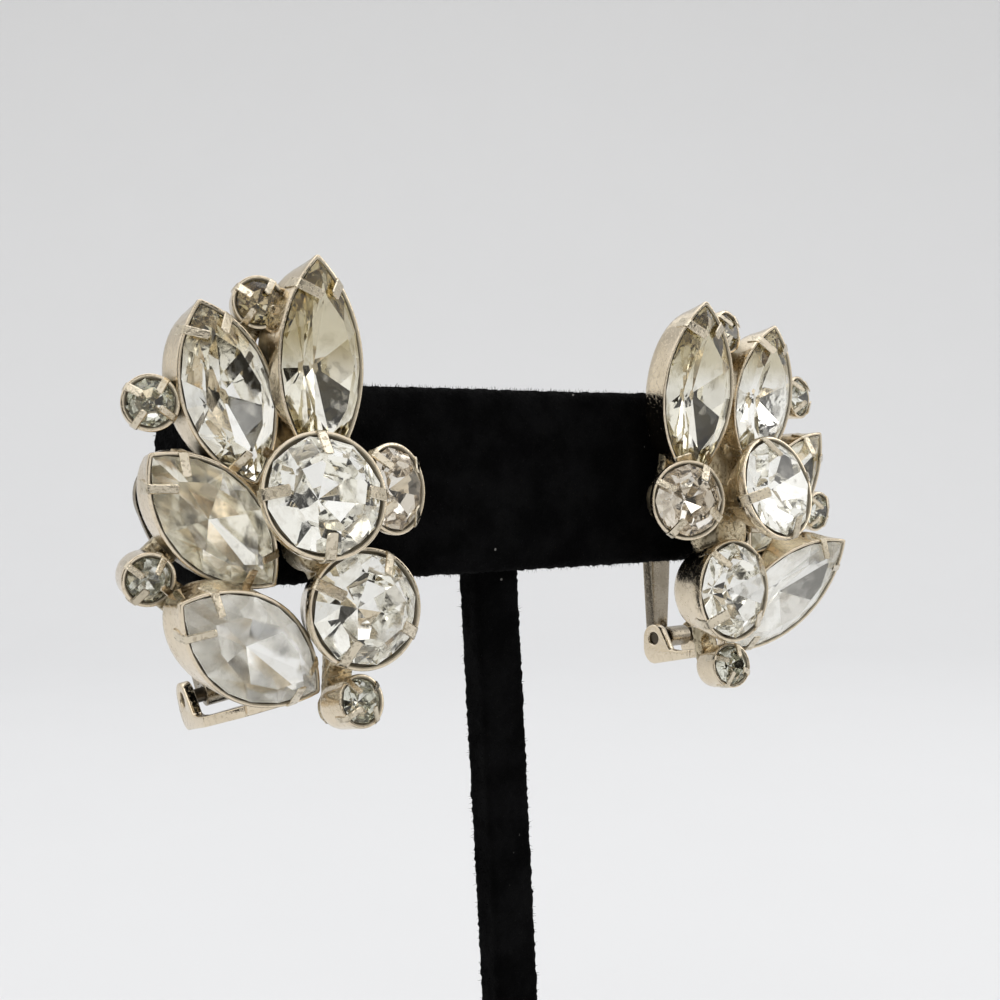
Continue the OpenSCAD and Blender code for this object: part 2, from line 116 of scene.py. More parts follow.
class NodeSheet:
    """Node tree of one material or world, written as expressions."""

    def __init__(self, tree: bpy.types.NodeTree) -> None:
        """Starts from an empty tree."""
        self.tree = tree
        tree.nodes.clear()

    def node(self, kind: str, settings: dict[str, Any], inputs: dict[Any, Feed], out: Any = 0) -> Socket:
        """Adds a node.

        Args:
            kind: Blender's node type.
            settings: Properties, set first. "stops" holds a ramp's (place, colour) pairs.
            inputs: Values or links, by input name or number.
            out: Name or number of the output to hand back.

        Returns:
            The chosen output.
        """
        made = self.tree.nodes.new(kind)
        for name, value in settings.items():
            if name == "stops":
                self._fill_ramp(made.color_ramp, value)
            else:
                setattr(made, name, value)
        for name, value in inputs.items():
            if isinstance(value, Socket):
                self.tree.links.new(value.out, made.inputs[name])
            else:
                made.inputs[name].default_value = value
        return Socket(self, made.outputs[out]) if made.outputs else Socket(self, None)

    @staticmethod
    def _fill_ramp(ramp: bpy.types.ColorRamp, stops: Sequence[tuple[float, Colour]]) -> None:
        """Gives a ramp its stops.

        Args:
            ramp: The ramp to fill.
            stops: Pairs of place and colour.
        """
        while len(ramp.elements) < len(stops):
            ramp.elements.new(0.5)
        for element, (place, colour) in zip(ramp.elements, stops):
            element.position = place
            element.color = (*colour, 1)

    def math(self, operation: str, *values: Feed) -> Socket:
        """Adds a Math node on the given values."""
        return self.node("ShaderNodeMath", {"operation": operation}, dict(enumerate(values)))

    def between(self, share: Feed, first: Feed, second: Feed) -> Socket:
        """Mixes two colours by a share."""
        settings = {"data_type": "RGBA", "clamp_factor": True}
        return self.node("ShaderNodeMix", settings, {0: share, 6: first, 7: second}, 2)

    def band(self, value: Feed, low: float, high: float) -> Socket:
        """Runs smoothly from 0 at low to 1 at high.

        Args:
            value: What is measured.
            low: Where the band starts.
            high: Where it ends.

        Returns:
            The share between the two.
        """
        settings = {"interpolation_type": "SMOOTHSTEP"}
        return self.node("ShaderNodeMapRange", settings, {0: value, 1: low, 2: high, 3: 0.0, 4: 1.0})

    def place(self) -> Socket:
        """The surface's own coordinates, in metres."""
        return self.node("ShaderNodeTexCoord", {}, {}, "Object")

    def grain(self, per_mm: float, detail: float = 3.0, stretch: Point = (1, 1, 1)) -> Socket:
        """Soft noise.

        Args:
            per_mm: Lumps in a millimetre.
            detail: Octaves.
            stretch: Scale along each axis.

        Returns:
            The noise, about 0.3 to 0.7.
        """
        where = self.node("ShaderNodeMapping", {}, {"Vector": self.place(), "Scale": tuple(stretch)})
        inputs = {"Vector": where, "Scale": per_mm / MM, "Detail": detail, "Roughness": 0.55}
        return self.node("ShaderNodeTexNoise", {}, inputs, "Fac")

    def bump(self, height: Feed, depth_mm: float, strength: float = 1.0) -> Socket:
        """Normals of a height field of the given depth."""
        inputs = {"Height": height, "Distance": depth_mm * MM, "Strength": strength}
        return self.node("ShaderNodeBump", {}, inputs, "Normal")

    def crevice(self, reach_mm: float) -> Socket:
        """Light that reaches the surface: 1 in the open, 0 in a crevice."""
        settings = {"samples": 6, "only_local": True}
        return self.node("ShaderNodeAmbientOcclusion", settings, {"Distance": reach_mm * MM}, "AO")

    def surface(self, **inputs: Feed) -> None:
        """Closes the tree with one Principled surface.

        Args:
            inputs: Socket names with underscores for spaces.
        """
        named = {name.replace("_", " "): value for name, value in inputs.items()}
        shader = self.node("ShaderNodeBsdfPrincipled", {}, named)
        self.node("ShaderNodeOutputMaterial", {}, {"Surface": shader})


def new_sheet(name: str) -> tuple[bpy.types.Material, NodeSheet]:
    """Starts a material.

    Args:
        name: The finish.

    Returns:
        The material and its node tree.
    """
    material = bpy.data.materials.new(name)
    material.use_nodes = True
    return material, NodeSheet(material.node_tree)


@dataclass(frozen=True)
class SilverPlate:
    """Warm plated metal, duller and browner in its corners: partly tarnish, partly painted shade."""

    name: str = "silver_plate"
    bright: Colour = (0.79, 0.685, 0.525, 1)
    worn: Colour = (0.58, 0.49, 0.35, 1)
    # olive and corner: painted shade, partly tarnish, laid on where little open air reaches
    olive: Colour = (0.27, 0.24, 0.17, 1)
    corner: Colour = (0.04, 0.03, 0.018, 1)
    polish: float = 0.09
    dull: float = 0.14
    specks: float = 0.3
    pitting: float = 0.007
    metallic: float = 1.0

    def material(self) -> Finish:
        """Makes the material.

        Returns:
            Metal with clouded polish, fine scratches, and corners darkened partly by tarnish, partly by
            painted shade.
        """
        made, sheet = new_sheet(self.name)
        air = sheet.crevice(1.6)
        cloud = sheet.band(sheet.grain(0.35, 4), 0.42, 0.68)
        colour = sheet.between(cloud * 0.4, self.bright, self.worn)
        open_air = sheet.band(air, 0.25, 0.8)
        speck = sheet.band(sheet.grain(3.4, 5), 0.53, 0.63)
        colour = sheet.between(speck * self.specks, colour, self.worn)
        # painted shade: olive where the occlusion node finds little open air, near black in the tightest
        # corners
        colour = sheet.between(open_air, self.olive, colour)
        colour = sheet.between(sheet.band(air, 0.02, 0.3), self.corner, colour)
        scratches = sheet.grain(9, 2, (0.25, 1, 1))
        pits = sheet.grain(3, 4) * (1 - open_air) * 5
        sheet.surface(
            Base_Color=colour,
            Metallic=self.metallic,
            Roughness=self.polish + cloud * self.dull + speck * 0.12 + (1 - open_air) * 0.36,
            Normal=sheet.bump(scratches + sheet.grain(1.2) * 2 + pits + speck, self.pitting),
        )
        return made


@dataclass(frozen=True)
class PinSteel:
    """Brushed steel of the hinge pins, darkened as painted shade of a pin deep in its eyes."""

    name: str = "pin_steel"
    # colour and groove: far darker than steel, painted shade of the pin deep in its eyes; the turning marks
    # between them are real
    colour: Colour = (0.13, 0.11, 0.085, 1)
    groove: Colour = (0.06, 0.05, 0.035, 1)

    def material(self) -> Finish:
        """Makes the material.

        Returns:
            Steel with rings of fine turning marks.
        """
        made, sheet = new_sheet(self.name)
        turning = sheet.grain(14, 2, (1, 0.1, 0.1))
        sheet.surface(
            Base_Color=sheet.between(turning, self.colour, self.groove),
            Metallic=1.0,
            Roughness=0.25 + turning * 0.2,
            Normal=sheet.bump(turning, 0.01),
        )
        return made


@dataclass(frozen=True)
class CrystalGlass:
    """Clear glass of a stone's crown."""

    name: str = "crystal_glass"
    tint: Colour = (0.985, 0.985, 0.965, 1)
    bend: float = 1.55

    def material(self) -> Finish:
        """Makes the material.

        Returns:
            Glass with the faint waviness of pressed stones.
        """
        made, sheet = new_sheet(self.name)
        wear = sheet.band(sheet.grain(2.2, 5), 0.62, 0.72)
        sheet.surface(
            Base_Color=self.tint,
            Roughness=wear * 0.05,
            IOR=self.bend,
            Transmission_Weight=1.0,
            Normal=sheet.bump(sheet.grain(0.5, 1), 0.01, 0.5),
        )
        return made


@dataclass(frozen=True)
class FoilBack:
    """Mirror foil behind a stone, aged in spots."""

    name: str
    colour: Colour
    aged: Colour
    amount: float
    stain: Colour = (0.62, 0.56, 0.4, 1)
    stain_from: float = 99.5
    stain_to: float = 102.5
    haze: float = 0.02

    def material(self) -> Finish:
        """Makes the material.

        Returns:
            A mirror with cloudy, darker patches, and yellower above a given height.
        """
        made, sheet = new_sheet(self.name)
        cloud = sheet.band(sheet.grain(0.9, 5), 0.5, 0.68)
        height = sheet.node("ShaderNodeSeparateXYZ", {}, {0: sheet.place()}, 2)
        stain = sheet.band(height, self.stain_from * MM, self.stain_to * MM)
        base = sheet.between(stain * 0.9, self.colour, self.stain)
        sheet.surface(
            Base_Color=sheet.between(cloud * self.amount, base, self.aged),
            Metallic=1.0,
            Roughness=self.haze + cloud * 0.12,
            Normal=sheet.bump(sheet.grain(0.8, 2), 0.01, 0.4),
        )
        return made


@dataclass(frozen=True)
class BlackVelvet:
    """Deep black pile with a few specks of lint."""

    name: str = "black_velvet"
    colour: Colour = (0.001, 0.001, 0.0011, 1)
    lifted: Colour = (0.003, 0.003, 0.0032, 1)
    lint: Colour = (0.16, 0.155, 0.145, 1)

    def material(self) -> Finish:
        """Makes the material.

        Returns:
            Black cloth whose pile lies unevenly.
        """
        made, sheet = new_sheet(self.name)
        lay = sheet.band(sheet.grain(0.28, 3), 0.35, 0.68)
        speck_inputs = {"Vector": sheet.place(), "Scale": 0.42 / MM, "Randomness": 1.0}
        near = sheet.node("ShaderNodeTexVoronoi", {}, speck_inputs, "Distance")
        lint = (1 - sheet.band(near, 0.035, 0.06)) * sheet.band(sheet.grain(0.6), 0.52, 0.56)
        colour = sheet.between(lay, self.colour, self.lifted)
        sheet.surface(
            Base_Color=sheet.between(lint, colour, self.lint),
            Roughness=0.95 - lay * 0.1,
            Specular_IOR_Level=0.04,
            Sheen_Weight=0.01,
            Sheen_Roughness=0.35,
            Sheen_Tint=(0.7, 0.7, 0.74, 1),
            Normal=sheet.bump(sheet.grain(5, 3), 0.12),
        )
        return made


@dataclass(frozen=True)
class StudioPaper:
    """Pale seamless paper."""

    name: str = "studio_paper"
    colour: Colour = (0.712, 0.716, 0.724, 1)
    fibre: Colour = (0.7, 0.704, 0.711, 1)

    def material(self) -> Finish:
        """Makes the material.

        Returns:
            Matt paper with a trace of fibre.
        """
        made, sheet = new_sheet(self.name)
        share = sheet.grain(0.02, 2)
        sheet.surface(Base_Color=sheet.between(share, self.colour, self.fibre), Roughness=0.9)
        return made


@dataclass
class Draft:
    """A mesh being drawn in millimetres."""

    verts: list[Vector] = field(default_factory=list)
    faces: list[tuple[list[int], int]] = field(default_factory=list)

    def add(self, points: Sequence[Point], faces: Sequence[Sequence[int]], place: Matrix) -> None:
        """Adds points and faces in the first finish.

        Args:
            points: Corners in the piece's own frame.
            faces: Corner numbers of each face.
            place: Where the piece's frame stands.
        """
        start = len(self.verts)
        self.verts.extend(place @ Vector(point) for point in points)
        self.span(start, faces, 0)

    def span(self, start: int, faces: Sequence[Sequence[int]], slot: int) -> None:
        """Adds faces in one finish, on corners numbered from a start on."""
        self.faces.extend(([start + i for i in face], slot) for face in faces)

    def loft(self, rings: Sequence[Ring], place: Matrix) -> None:
        """Adds a closed skin over rings of equal length, with an end face on the first and last.

        Args:
            rings: Loops of points, each in the same order.
            place: Where the rings' frame stands.
        """
        count = len(rings[0])
        first = list(range(count))[::-1]
        last = [(len(rings) - 1) * count + j for j in range(count)]
        points = [point for ring in rings for point in ring]
        self.add(points, [first, *strips(len(rings), count), last], place)

    def sheet(self, outline: Flat, thickness: float, place: Matrix) -> None:
        """Adds a flat sheet.

        Args:
            outline: Corners in (x, y).
            thickness: Its height along z.
            place: Where its frame stands.
        """
        rings = [[Vector((x, y, z)) for x, y in outline] for z in (0, thickness)]
        self.loft(rings, place)

    def ball(self, centre: Point, radii: Point, steps: int) -> None:
        """Adds a rounded lump.

        Args:
            centre: Its middle.
            radii: Half sizes along x, y and z.
            steps: Rings from pole to pole.
        """
        rings = []
        for i in range(1, steps):
            tilt = math.pi * i / steps
            rings.append([
                Vector((math.sin(tilt) * math.cos(turn), math.sin(tilt) * math.sin(turn), math.cos(tilt)))
                for turn in (2 * math.pi * j / (2 * steps) for j in range(2 * steps))
            ])
        place = Matrix.Translation(Vector(centre)) @ Matrix.Diagonal((*radii, 1))
        self.loft(rings, place)

    def rod(self, start: Point, end: Point, radius: float, corners: int = 24) -> None:
        """Adds a round bar between two points.

        Args:
            start: Middle of one end.
            end: Middle of the other end.
            radius: Its radius.
            corners: Points round it.
        """
        axis = Vector(end) - Vector(start)
        place = Matrix.Translation(Vector(start)) @ axis.to_track_quat("Z", "Y").to_matrix().to_4x4()
        self.loft([circle(radius, z, corners) for z in (0, axis.length)], place)

    def piece(
        self, name: str, place: Matrix, finishes: Sequence[Finish], crease: float = 38,
    ) -> bpy.types.Object:
        """Writes the draft as an object.

        Args:
            name: The piece.
            place: The draft's frame in the part's frame, in millimetres.
            finishes: Materials by slot number.
            crease: Edges sharper than this many degrees stay sharp. 0 gives flat facets.

        Returns:
            The object, in metres.
        """
        mesh = bpy.data.meshes.new(name)
        world = Matrix.Scale(MM, 4) @ place
        mesh.from_pydata([world @ v for v in self.verts], [], [face for face, _ in self.faces])
        for material in finishes:
            mesh.materials.append(material)
        mesh.polygons.foreach_set("material_index", [slot for _, slot in self.faces])
        shell = bmesh.new()
        shell.from_mesh(mesh)
        bmesh.ops.recalc_face_normals(shell, faces=shell.faces)
        shell.to_mesh(mesh)
        shell.free()
        if crease:
            mesh.shade_smooth()
            mesh.set_sharp_from_angle(angle=math.radians(crease))
        made = bpy.data.objects.new(name, mesh)
        bpy.context.scene.collection.objects.link(made)
        return made


def strips(rings: int, count: int, closed: bool = True) -> list[list[int]]:
    """Faces between rings of equal length.

    Args:
        rings: How many rings.
        count: Points in each.
        closed: Whether a ring's last point meets its first.

    Returns:
        Corner numbers of the faces, ring by ring.
    """
    sides = count if closed else count - 1
    return [
        [i * count + j, i * count + (j + 1) % count, (i + 1) * count + (j + 1) % count, (i + 1) * count + j]
        for i in range(rings - 1) for j in range(sides)
    ]


def circle(radius: float, height: float, corners: int) -> Ring:
    """Ring of points round z.

    Args:
        radius: Its radius.
        height: Its place on z.
        corners: How many points.

    Returns:
        The points, counter-clockwise.
    """
    turns = [2 * math.pi * j / corners for j in range(corners)]
    return [Vector((radius * math.cos(turn), radius * math.sin(turn), height)) for turn in turns]


def turned(axis: str, degrees: float) -> Matrix:
    """Rotation round one axis."""
    return Matrix.Rotation(math.radians(degrees), 4, axis)


def shifted(x: float, y: float, z: float) -> Matrix:
    """Translation."""
    return Matrix.Translation((x, y, z))


def rounded_path(corners: Flat, radii: Sequence[float], steps: int = 4) -> list[tuple[float, float]]:
    """Rounds the corners of an open line.

    Args:
        corners: The line's points.
        radii: How far from each point the rounding starts. 0 keeps the point.
        steps: Points on each rounding, less one.

    Returns:
        The rounded line's points.
    """
    path = []
    for i, (corner, radius) in enumerate(zip(corners, radii)):
        here = Vector(corner)
        if radius == 0 or i in (0, len(corners) - 1):
            path.append(tuple(here))
            continue
        before, after = Vector(corners[i - 1]), Vector(corners[i + 1])
        a = here + (before - here).normalized() * radius
        b = here + (after - here).normalized() * radius
        for k in range(steps + 1):
            t = k / steps
            path.append(tuple((1 - t) ** 2 * a + 2 * t * (1 - t) * here + t * t * b))
    return path


def declare(made: bpy.types.Object, body: str, node: str) -> None:
    """Args:
        made: The piece.
        body: The body that it rides on.
        node: The CAD node that it stands for.
    """
    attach(made, body)
    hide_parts(node)
    LOG.info("%s: %d faces", made.name, len(made.data.polygons))


@dataclass(frozen=True)
class StoneCut:
    """The proportions that all the stones and their cups share."""

    table: float = 0.66
    crown: float = 0.13
    pavilion: float = 0.32
    girdle: float = 0.06
    gap: float = 0.06
    wall: float = 0.26
    flat: float = 0.955
    arc_share: float = 0.985
    oval_share: float = 0.84
    rim_corners: int = 16
    round_points: int = 64
    side_points: int = 22
    side_steps: tuple[float, ...] = (1, 0.87, 0.58, 0.28, 0, -0.28, -0.58, -0.87, -1)


CUT = StoneCut()


@dataclass(frozen=True)
class Stone:
    """One stone of the right earring, and what the left one's differs by."""

    name: str
    length: float
    width: float
    out: float
    up: float
    front: float
    spin: float
    lean_out: float
    lean_up: float
    cup_depth: float
    foot: float
    prong_turn: float
    left_out: float = 0
    left_up: float = 0
    left_spin: float = 0

    @property
    def cut(self) -> Cut:
        """Its outline."""
        return Cut.ROUND if self.length == self.width else Cut.NAVETTE

    @property
    def arc(self) -> float:
        """Radius of a navette's two arcs."""
        return (self.length ** 2 + self.width ** 2) / (4 * self.width)

    @property
    def half_arc(self) -> float:
        """Half the angle of one arc, in degrees."""
        return math.degrees(math.asin(self.length / 2 / self.arc))

    def on(self, side: Side) -> "Stone":
        """The stone as it stands on one side's earring.

        Args:
            side: The earring.

        Returns:
            The stone, moved where the left one differs.
        """
        if side is Side.RIGHT:
            return self
        return replace(
            self, out=self.out + self.left_out, up=self.up + self.left_up, spin=self.spin + self.left_spin,
        )

    def place(self) -> Matrix:
        """The stone's frame in the earring's frame."""
        lean = turned("Z", self.lean_out) @ turned("X", -self.lean_up) @ turned("X", 90)
        return shifted(self.out, -self.front, self.up) @ lean @ turned("Z", -self.spin)

    def foot_place(self) -> Vector:
        """Centre of the cup's floor in the earring's frame."""
        return self.place() @ Vector((0, 0, -self.cup_depth))

    def corner(self, j: int) -> Vector:
        """Corner of the girdle outline.

        Args:
            j: Its number, counter-clockwise from the top.

        Returns:
            The corner in the girdle's plane.
        """
        k = j % CUT.rim_corners
        if self.cut is Cut.ROUND:
            turn = math.radians(90 + k * 360 / CUT.rim_corners)
            reach = self.width / 2 * (CUT.flat if k % 2 else 1)
            return Vector((math.cos(turn), math.sin(turn), 0)) * reach
        left = k <= CUT.rim_corners // 2
        step = CUT.side_steps[k if left else CUT.rim_corners - k]
        turn = math.radians(self.half_arc * step)
        x = self.arc * math.cos(turn) - (self.arc - self.width / 2)
        return Vector((-x if left else x, self.arc * math.sin(turn), 0))

    def lower_height(self, j: int) -> float:
        """Height of a lower girdle corner, so that each pavilion facet is flat.

        Args:
            j: The corner's number.

        Returns:
            Its height under the girdle's plane.
        """
        deep = self.width * CUT.pavilion
        half_girdle = self.width * CUT.girdle / 2
        if j % 2:
            return -half_girdle
        a, b, here = self.corner(j - 1).xy, self.corner(j + 1).xy, self.corner(j).xy
        share = a.cross(b - a) / here.cross(b - a)
        return -deep + (deep - half_girdle) / share

    def draw(self, draft: Draft) -> None:
        """Adds the cut stone, its pavilion in the second finish.

        Args:
            draft: The mesh to add to.
        """
        corners = CUT.rim_corners
        half_girdle = self.width * CUT.girdle / 2
        crown = half_girdle + self.width * CUT.crown
        rim = [self.corner(j) for j in range(corners)]
        table = [rim[j] * CUT.table + Vector((0, 0, crown)) for j in range(0, corners, 2)]
        upper = [point + Vector((0, 0, half_girdle)) for point in rim]
        lower = [point + Vector((0, 0, self.lower_height(j))) for j, point in enumerate(rim)]
        tip = Vector((0, 0, -self.width * CUT.pavilion))
        tabs = len(table)

        def up(j: int) -> int:
            """Number of an upper girdle corner."""
            return tabs + j % corners

        def low(j: int) -> int:
            """Number of a lower girdle corner."""
            return tabs + corners + j % corners

        glass = [list(range(tabs))]
        for k in range(tabs):
            after = (k + 1) % tabs
            glass.append([after, up(2 * k + 1), k])
            glass.append([up(2 * k), up(2 * k - 1), k])
            glass.append([up(2 * k + 1), up(2 * k), k])
        foil = [[up(j), up(j + 1), low(j + 1), low(j)] for j in range(corners)]
        foil += [[low(2 * k - 1), low(2 * k), low(2 * k + 1), tabs + 2 * corners] for k in range(tabs)]
        start = len(draft.verts)
        draft.add([*table, *upper, *lower, tip], glass, self.place())
        draft.span(start, foil, 1)

    def outline(self, grow: float, height: float, blunt: float = 0) -> Ring:
        """Ring round the stone.

        Args:
            grow: How far outside the girdle. It may be negative.
            height: Height over the girdle's plane.
            blunt: How far a navette's points are rounded off, up to 1.

        Returns:
            The ring, counter-clockwise.
        """
        if self.cut is Cut.ROUND:
            return circle(self.width / 2 + grow, height, CUT.round_points)
        shift = self.arc - self.width / 2
        radius = self.arc + grow
        half = math.acos(min(shift / radius, 1)) * CUT.arc_share
        long, wide = radius * math.sin(half) * CUT.oval_share, radius - shift
        right = []
        for i in range(CUT.side_points + 1):
            share = 2 * i / CUT.side_points - 1
            arc = Vector((radius * math.cos(half * share) - shift, radius * math.sin(half * share), height))
            turn = math.pi / 2 * share * CUT.arc_share
            oval = Vector((wide * math.cos(turn), long * math.sin(turn), height))
            right.append(arc.lerp(oval, blunt))
        return right + [Vector((-p.x, -p.y, height)) for p in right]


# name, length, width, out, up, front, spin, lean out, lean up, cup depth, foot, prong turn,
# and where the left one differs: out, up, spin
STONES = (
    Stone("navette_inner", 15, 6.8, -8.3, 7.3, 3.7, 2, -12, -6, 2.75, 1, 0, 1.8, 0.5, -8),
    Stone("navette_upper", 12.8, 6.5, 0.6, 7.0, 3.6, 9, -6, -4, 2.7, 1, 0),
    Stone("navette_outer", 12.8, 6.4, 3.4, -1.4, 3.9, 35, -3, -9, 2.55, 1, 0),
    Stone("navette_lower", 14.6, 6.8, 2.6, -10.6, 4.4, 49, -15, -16, 2.9, 1, 0),
    Stone("round_centre", 8.4, 8.4, -3.2, -0.9, 8.1, 0, 0, 13, 4, 0.46, 12),
    Stone("round_lower", 8.2, 8.2, -5.8, -9.7, 5.4, 0, -2, 2, 4.1, 0.74, 38),
    Stone("round_inner", 6.1, 6.1, -10.9, -1.8, 4.9, 0, -24, 0, 2.6, 0.55, 60, 1),
    Stone("small_top", 3.2, 3.2, -3.2, 12.9, 2.7, 0, 8, 5, 2.1, 0.9, 45),
    Stone("small_upper", 3.3, 3.3, 6.0, 7.3, 3.5, 0, 10, 5, 2.4, 0.9, 45),
    Stone("small_outer", 3.1, 3.1, 8.5, -3.3, 3.7, 0, 2, -6, 2.6, 0.9, 45, 0, -1),
    Stone("small_bottom", 3.3, 3.3, -4.7, -16.4, 4.3, 0, -14, 10, 3.1, 0.9, 65),
)
JOINED = (
    ("navette_inner", "round_inner"), ("navette_inner", "round_centre"), ("navette_inner", "small_top"),
    ("small_top", "navette_upper"), ("navette_upper", "round_centre"), ("navette_upper", "small_upper"),
    ("round_centre", "navette_outer"), ("navette_outer", "small_outer"), ("round_centre", "round_inner"),
    ("round_centre", "round_lower"), ("round_lower", "small_bottom"), ("small_outer", "navette_lower"),
)
SHORT_PRONGS = (("navette_inner", 3), ("navette_upper", 3))
WEB = ("navette_inner", "navette_upper", "navette_outer", "navette_lower", "round_centre", "round_inner")


@dataclass(frozen=True)
class Cover:
    """One velvet piece."""

    name: str
    node: str
    seed: int
    hairs: int


def quarter_steps(radius: float, pitch: float) -> int:
    """Steps round a quarter circle at a given spacing."""
    return max(2, round(radius * 1.6 / pitch))


@dataclass(frozen=True)
class Block:
    """A rounded block that stands along z."""

    width: float
    depth: float
    corner: float
    length: float
    edge: float
    pitch: float

    def rings(self) -> list[Ring]:
        """Covers the block.

        Returns:
            Rings from the middle of one end to the middle of the other.
        """
        pitch, edge, length = self.pitch, self.edge, self.length
        sizes = []
        inset = min(self.width, self.depth) / 2 - pitch / 2
        while inset > max(edge, pitch / 2):
            sizes.append((inset, 0.0))
            inset -= pitch
        turn_steps = quarter_steps(edge, pitch)
        for i in range(turn_steps + 1):
            turn = math.pi / 2 * i / turn_steps
            sizes.append((edge * (1 - math.sin(turn)), edge * (1 - math.cos(turn))))
        steps = max(2, round((length - 2 * edge) / pitch))
        middle = [(0.0, edge + (length - 2 * edge) * i / steps) for i in range(1, steps)]
        full = sizes + middle + [(inset, length - z) for inset, z in reversed(sizes)]
        return [self._loop(inset, z) for inset, z in full]

    def _loop(self, inset: float, z: float) -> Ring:
        """Rounded rectangle at one height.

        Args:
            inset: How far inside the full outline it lies.
            z: Its height.

        Returns:
            The loop, with as many points at any inset.
        """
        sides = self.width - 2 * self.corner, self.depth - 2 * self.corner
        straight = [max(1, round(side / self.pitch)) for side in sides]
        bend = quarter_steps(self.corner, self.pitch)
        half = Vector((self.width / 2 - inset, self.depth / 2 - inset))
        radius = max(min(self.corner - inset * 0.5, half.x * 0.98, half.y * 0.98), 0.02)
        core = half - Vector((radius, radius))
        ring = []
        for k, (sx, sy) in enumerate(((1, 1), (-1, 1), (-1, -1), (1, -1))):
            centre = Vector((core.x * sx, core.y * sy))
            for i in range(bend + 1):
                turn = math.pi / 2 * (k + i / bend)
                x, y = centre.x + radius * math.cos(turn), centre.y + radius * math.sin(turn)
                ring.append(Vector((x, y, z)))
            for i in range(1, straight[k % 2]):
                left = 1 - 2 * i / straight[k % 2]
                if k % 2 == 0:
                    ring.append(Vector((core.x * sx * left, half.y * sy, z)))
                else:
                    ring.append(Vector((half.x * sx, core.y * sy * left, z)))
        return ring


@dataclass(frozen=True)
class Stand:
    """Velvet T-bar stand: crossbar, leaning stem and base."""

    length: float = 55
    height: float = 15
    depth: float = 8
    centre: float = 92
    edge: float = 1.2
    end_edge: float = 0.7
    stem_width: float = 4.4
    stem_depth: float = 3
    stem_corner: float = 0.5
    tenon: float = 2
    lean: float = 3
    taper: float = 0.92
    base_width: float = 56
    base_depth: float = 46
    base_height: float = 5
    base_corner: float = 8
    base_edge: float = 0.8
    pile: float = 0.26
    pile_sunk: float = 0.35
    clump: float = 0.35
    clump_scale: float = 0.9
    pitch: float = 0.27
    base_pitch: float = 0.45
    pressed: float = 0.2
    hair_lean: float = 0.7
    hair_length: tuple[float, float] = (0.18, 0.42)
    hair_radius: float = 0.028
    hair_root: float = 0.12

    @property
    def shift(self) -> float:
        """Place of the crossbar's middle along x."""
        return -math.tan(math.radians(self.lean)) * (self.centre - self.base_height)

    def build(self, velvet: Finish) -> None:
        """Builds and dresses the three pieces.

        Args:
            velvet: Their finish.
        """
        bar = Block(self.depth, self.height, self.edge, self.length, self.end_edge, self.pitch)
        lie = turned("Y", 90) @ turned("Z", 90)
        place = shifted(self.shift - self.length / 2, 0, self.centre) @ lie
        self._pile(Cover("velvet_bar", "stand_bar", 5, 9000), bar.rings(), place, velvet)
        bottom = self.base_height - self.tenon
        length = self.centre - self.height / 2 + self.tenon - bottom
        rings = Block(self.stem_width, self.stem_depth, self.stem_corner, length, 0, self.pitch).rings()
        for ring in rings:
            share = ring[0].z / length
            for point in ring:
                point.x *= self.taper + (1 - self.taper) * share
                point.x -= math.tan(math.radians(self.lean)) * (point.z + bottom - self.base_height)
        self._pile(Cover("velvet_stem", "stand_stem", 6, 2500), rings, shifted(0, 0, bottom), velvet)
        size = self.base_width, self.base_depth, self.base_corner, self.base_height
        base = Block(*size, self.base_edge, self.base_pitch)
        self._pile(Cover("velvet_base", "stand_base", 7, 7000), base.rings(), shifted(0, 0, 0), velvet)

    def _pile(self, cover: Cover, rings: list[Ring], place: Matrix, velvet: Finish) -> None:
        """Writes a velvet piece: a skin of short tufts and a sprinkling of longer hairs.

        Points that crowd at a corner share a tuft, and the underside is pressed flat.

        Args:
            cover: The piece.
            rings: Its bare form.
            place: Where the rings' frame stands.
            velvet: Its finish.
        """
        dice = random.Random(cover.seed)
        draft = Draft()
        draft.loft(rings, place)
        shell = bmesh.new()
        corners = [shell.verts.new(v) for v in draft.verts]
        for face, _ in draft.faces:
            shell.faces.new([corners[i] for i in face])
        bmesh.ops.recalc_face_normals(shell, faces=shell.faces)
        shell.normal_update()
        spots = [(v.co.copy(), v.normal.copy()) for v in corners]
        shell.free()
        last, lift = None, 0.0
        roots = []
        for i, (point, normal) in enumerate(spots):
            if point.z < self.pressed:
                continue
            if last is None or (point - last).length > self.pitch / 2:
                last = point
                clump = noise.noise(point * self.clump_scale) * self.clump + 0.5
                lift = self.pile * (dice.random() ** 1.6 * clump - self.pile_sunk)
                if point.z > self.pressed + self.pile:
                    roots.append((point, normal))
            draft.verts[i] = point + normal * lift
        for point, normal in dice.sample(roots, min(cover.hairs, len(roots))):
            self._hair(draft, point, normal, dice)
        made = draft.piece(cover.name, Matrix.Identity(4), [velvet], 180)
        declare(made, "root", cover.node)

    def _hair(self, draft: Draft, point: Vector, normal: Vector, dice: random.Random) -> None:
        """Adds one three-sided hair that leans a little.

        Args:
            draft: The mesh to add to.
            point: Its root.
            normal: The surface's direction there.
            dice: Source of its random lean and length.
        """
        lean = Vector([dice.uniform(-1, 1) for _ in range(3)]) * self.hair_lean
        tip = point + (normal + lean).normalized() * dice.uniform(*self.hair_length)
        side = normal.orthogonal().normalized() * self.hair_radius
        root = point - normal * self.hair_root
        across = normal.cross(side)
        base = [root + side, root - side * 0.5 + across * 0.87, root - side * 0.5 - across * 0.87]
        draft.add([*base, tip], [[2, 1, 0], [0, 1, 3], [1, 2, 3], [2, 0, 3]], Matrix.Identity(4))


STAND = Stand()


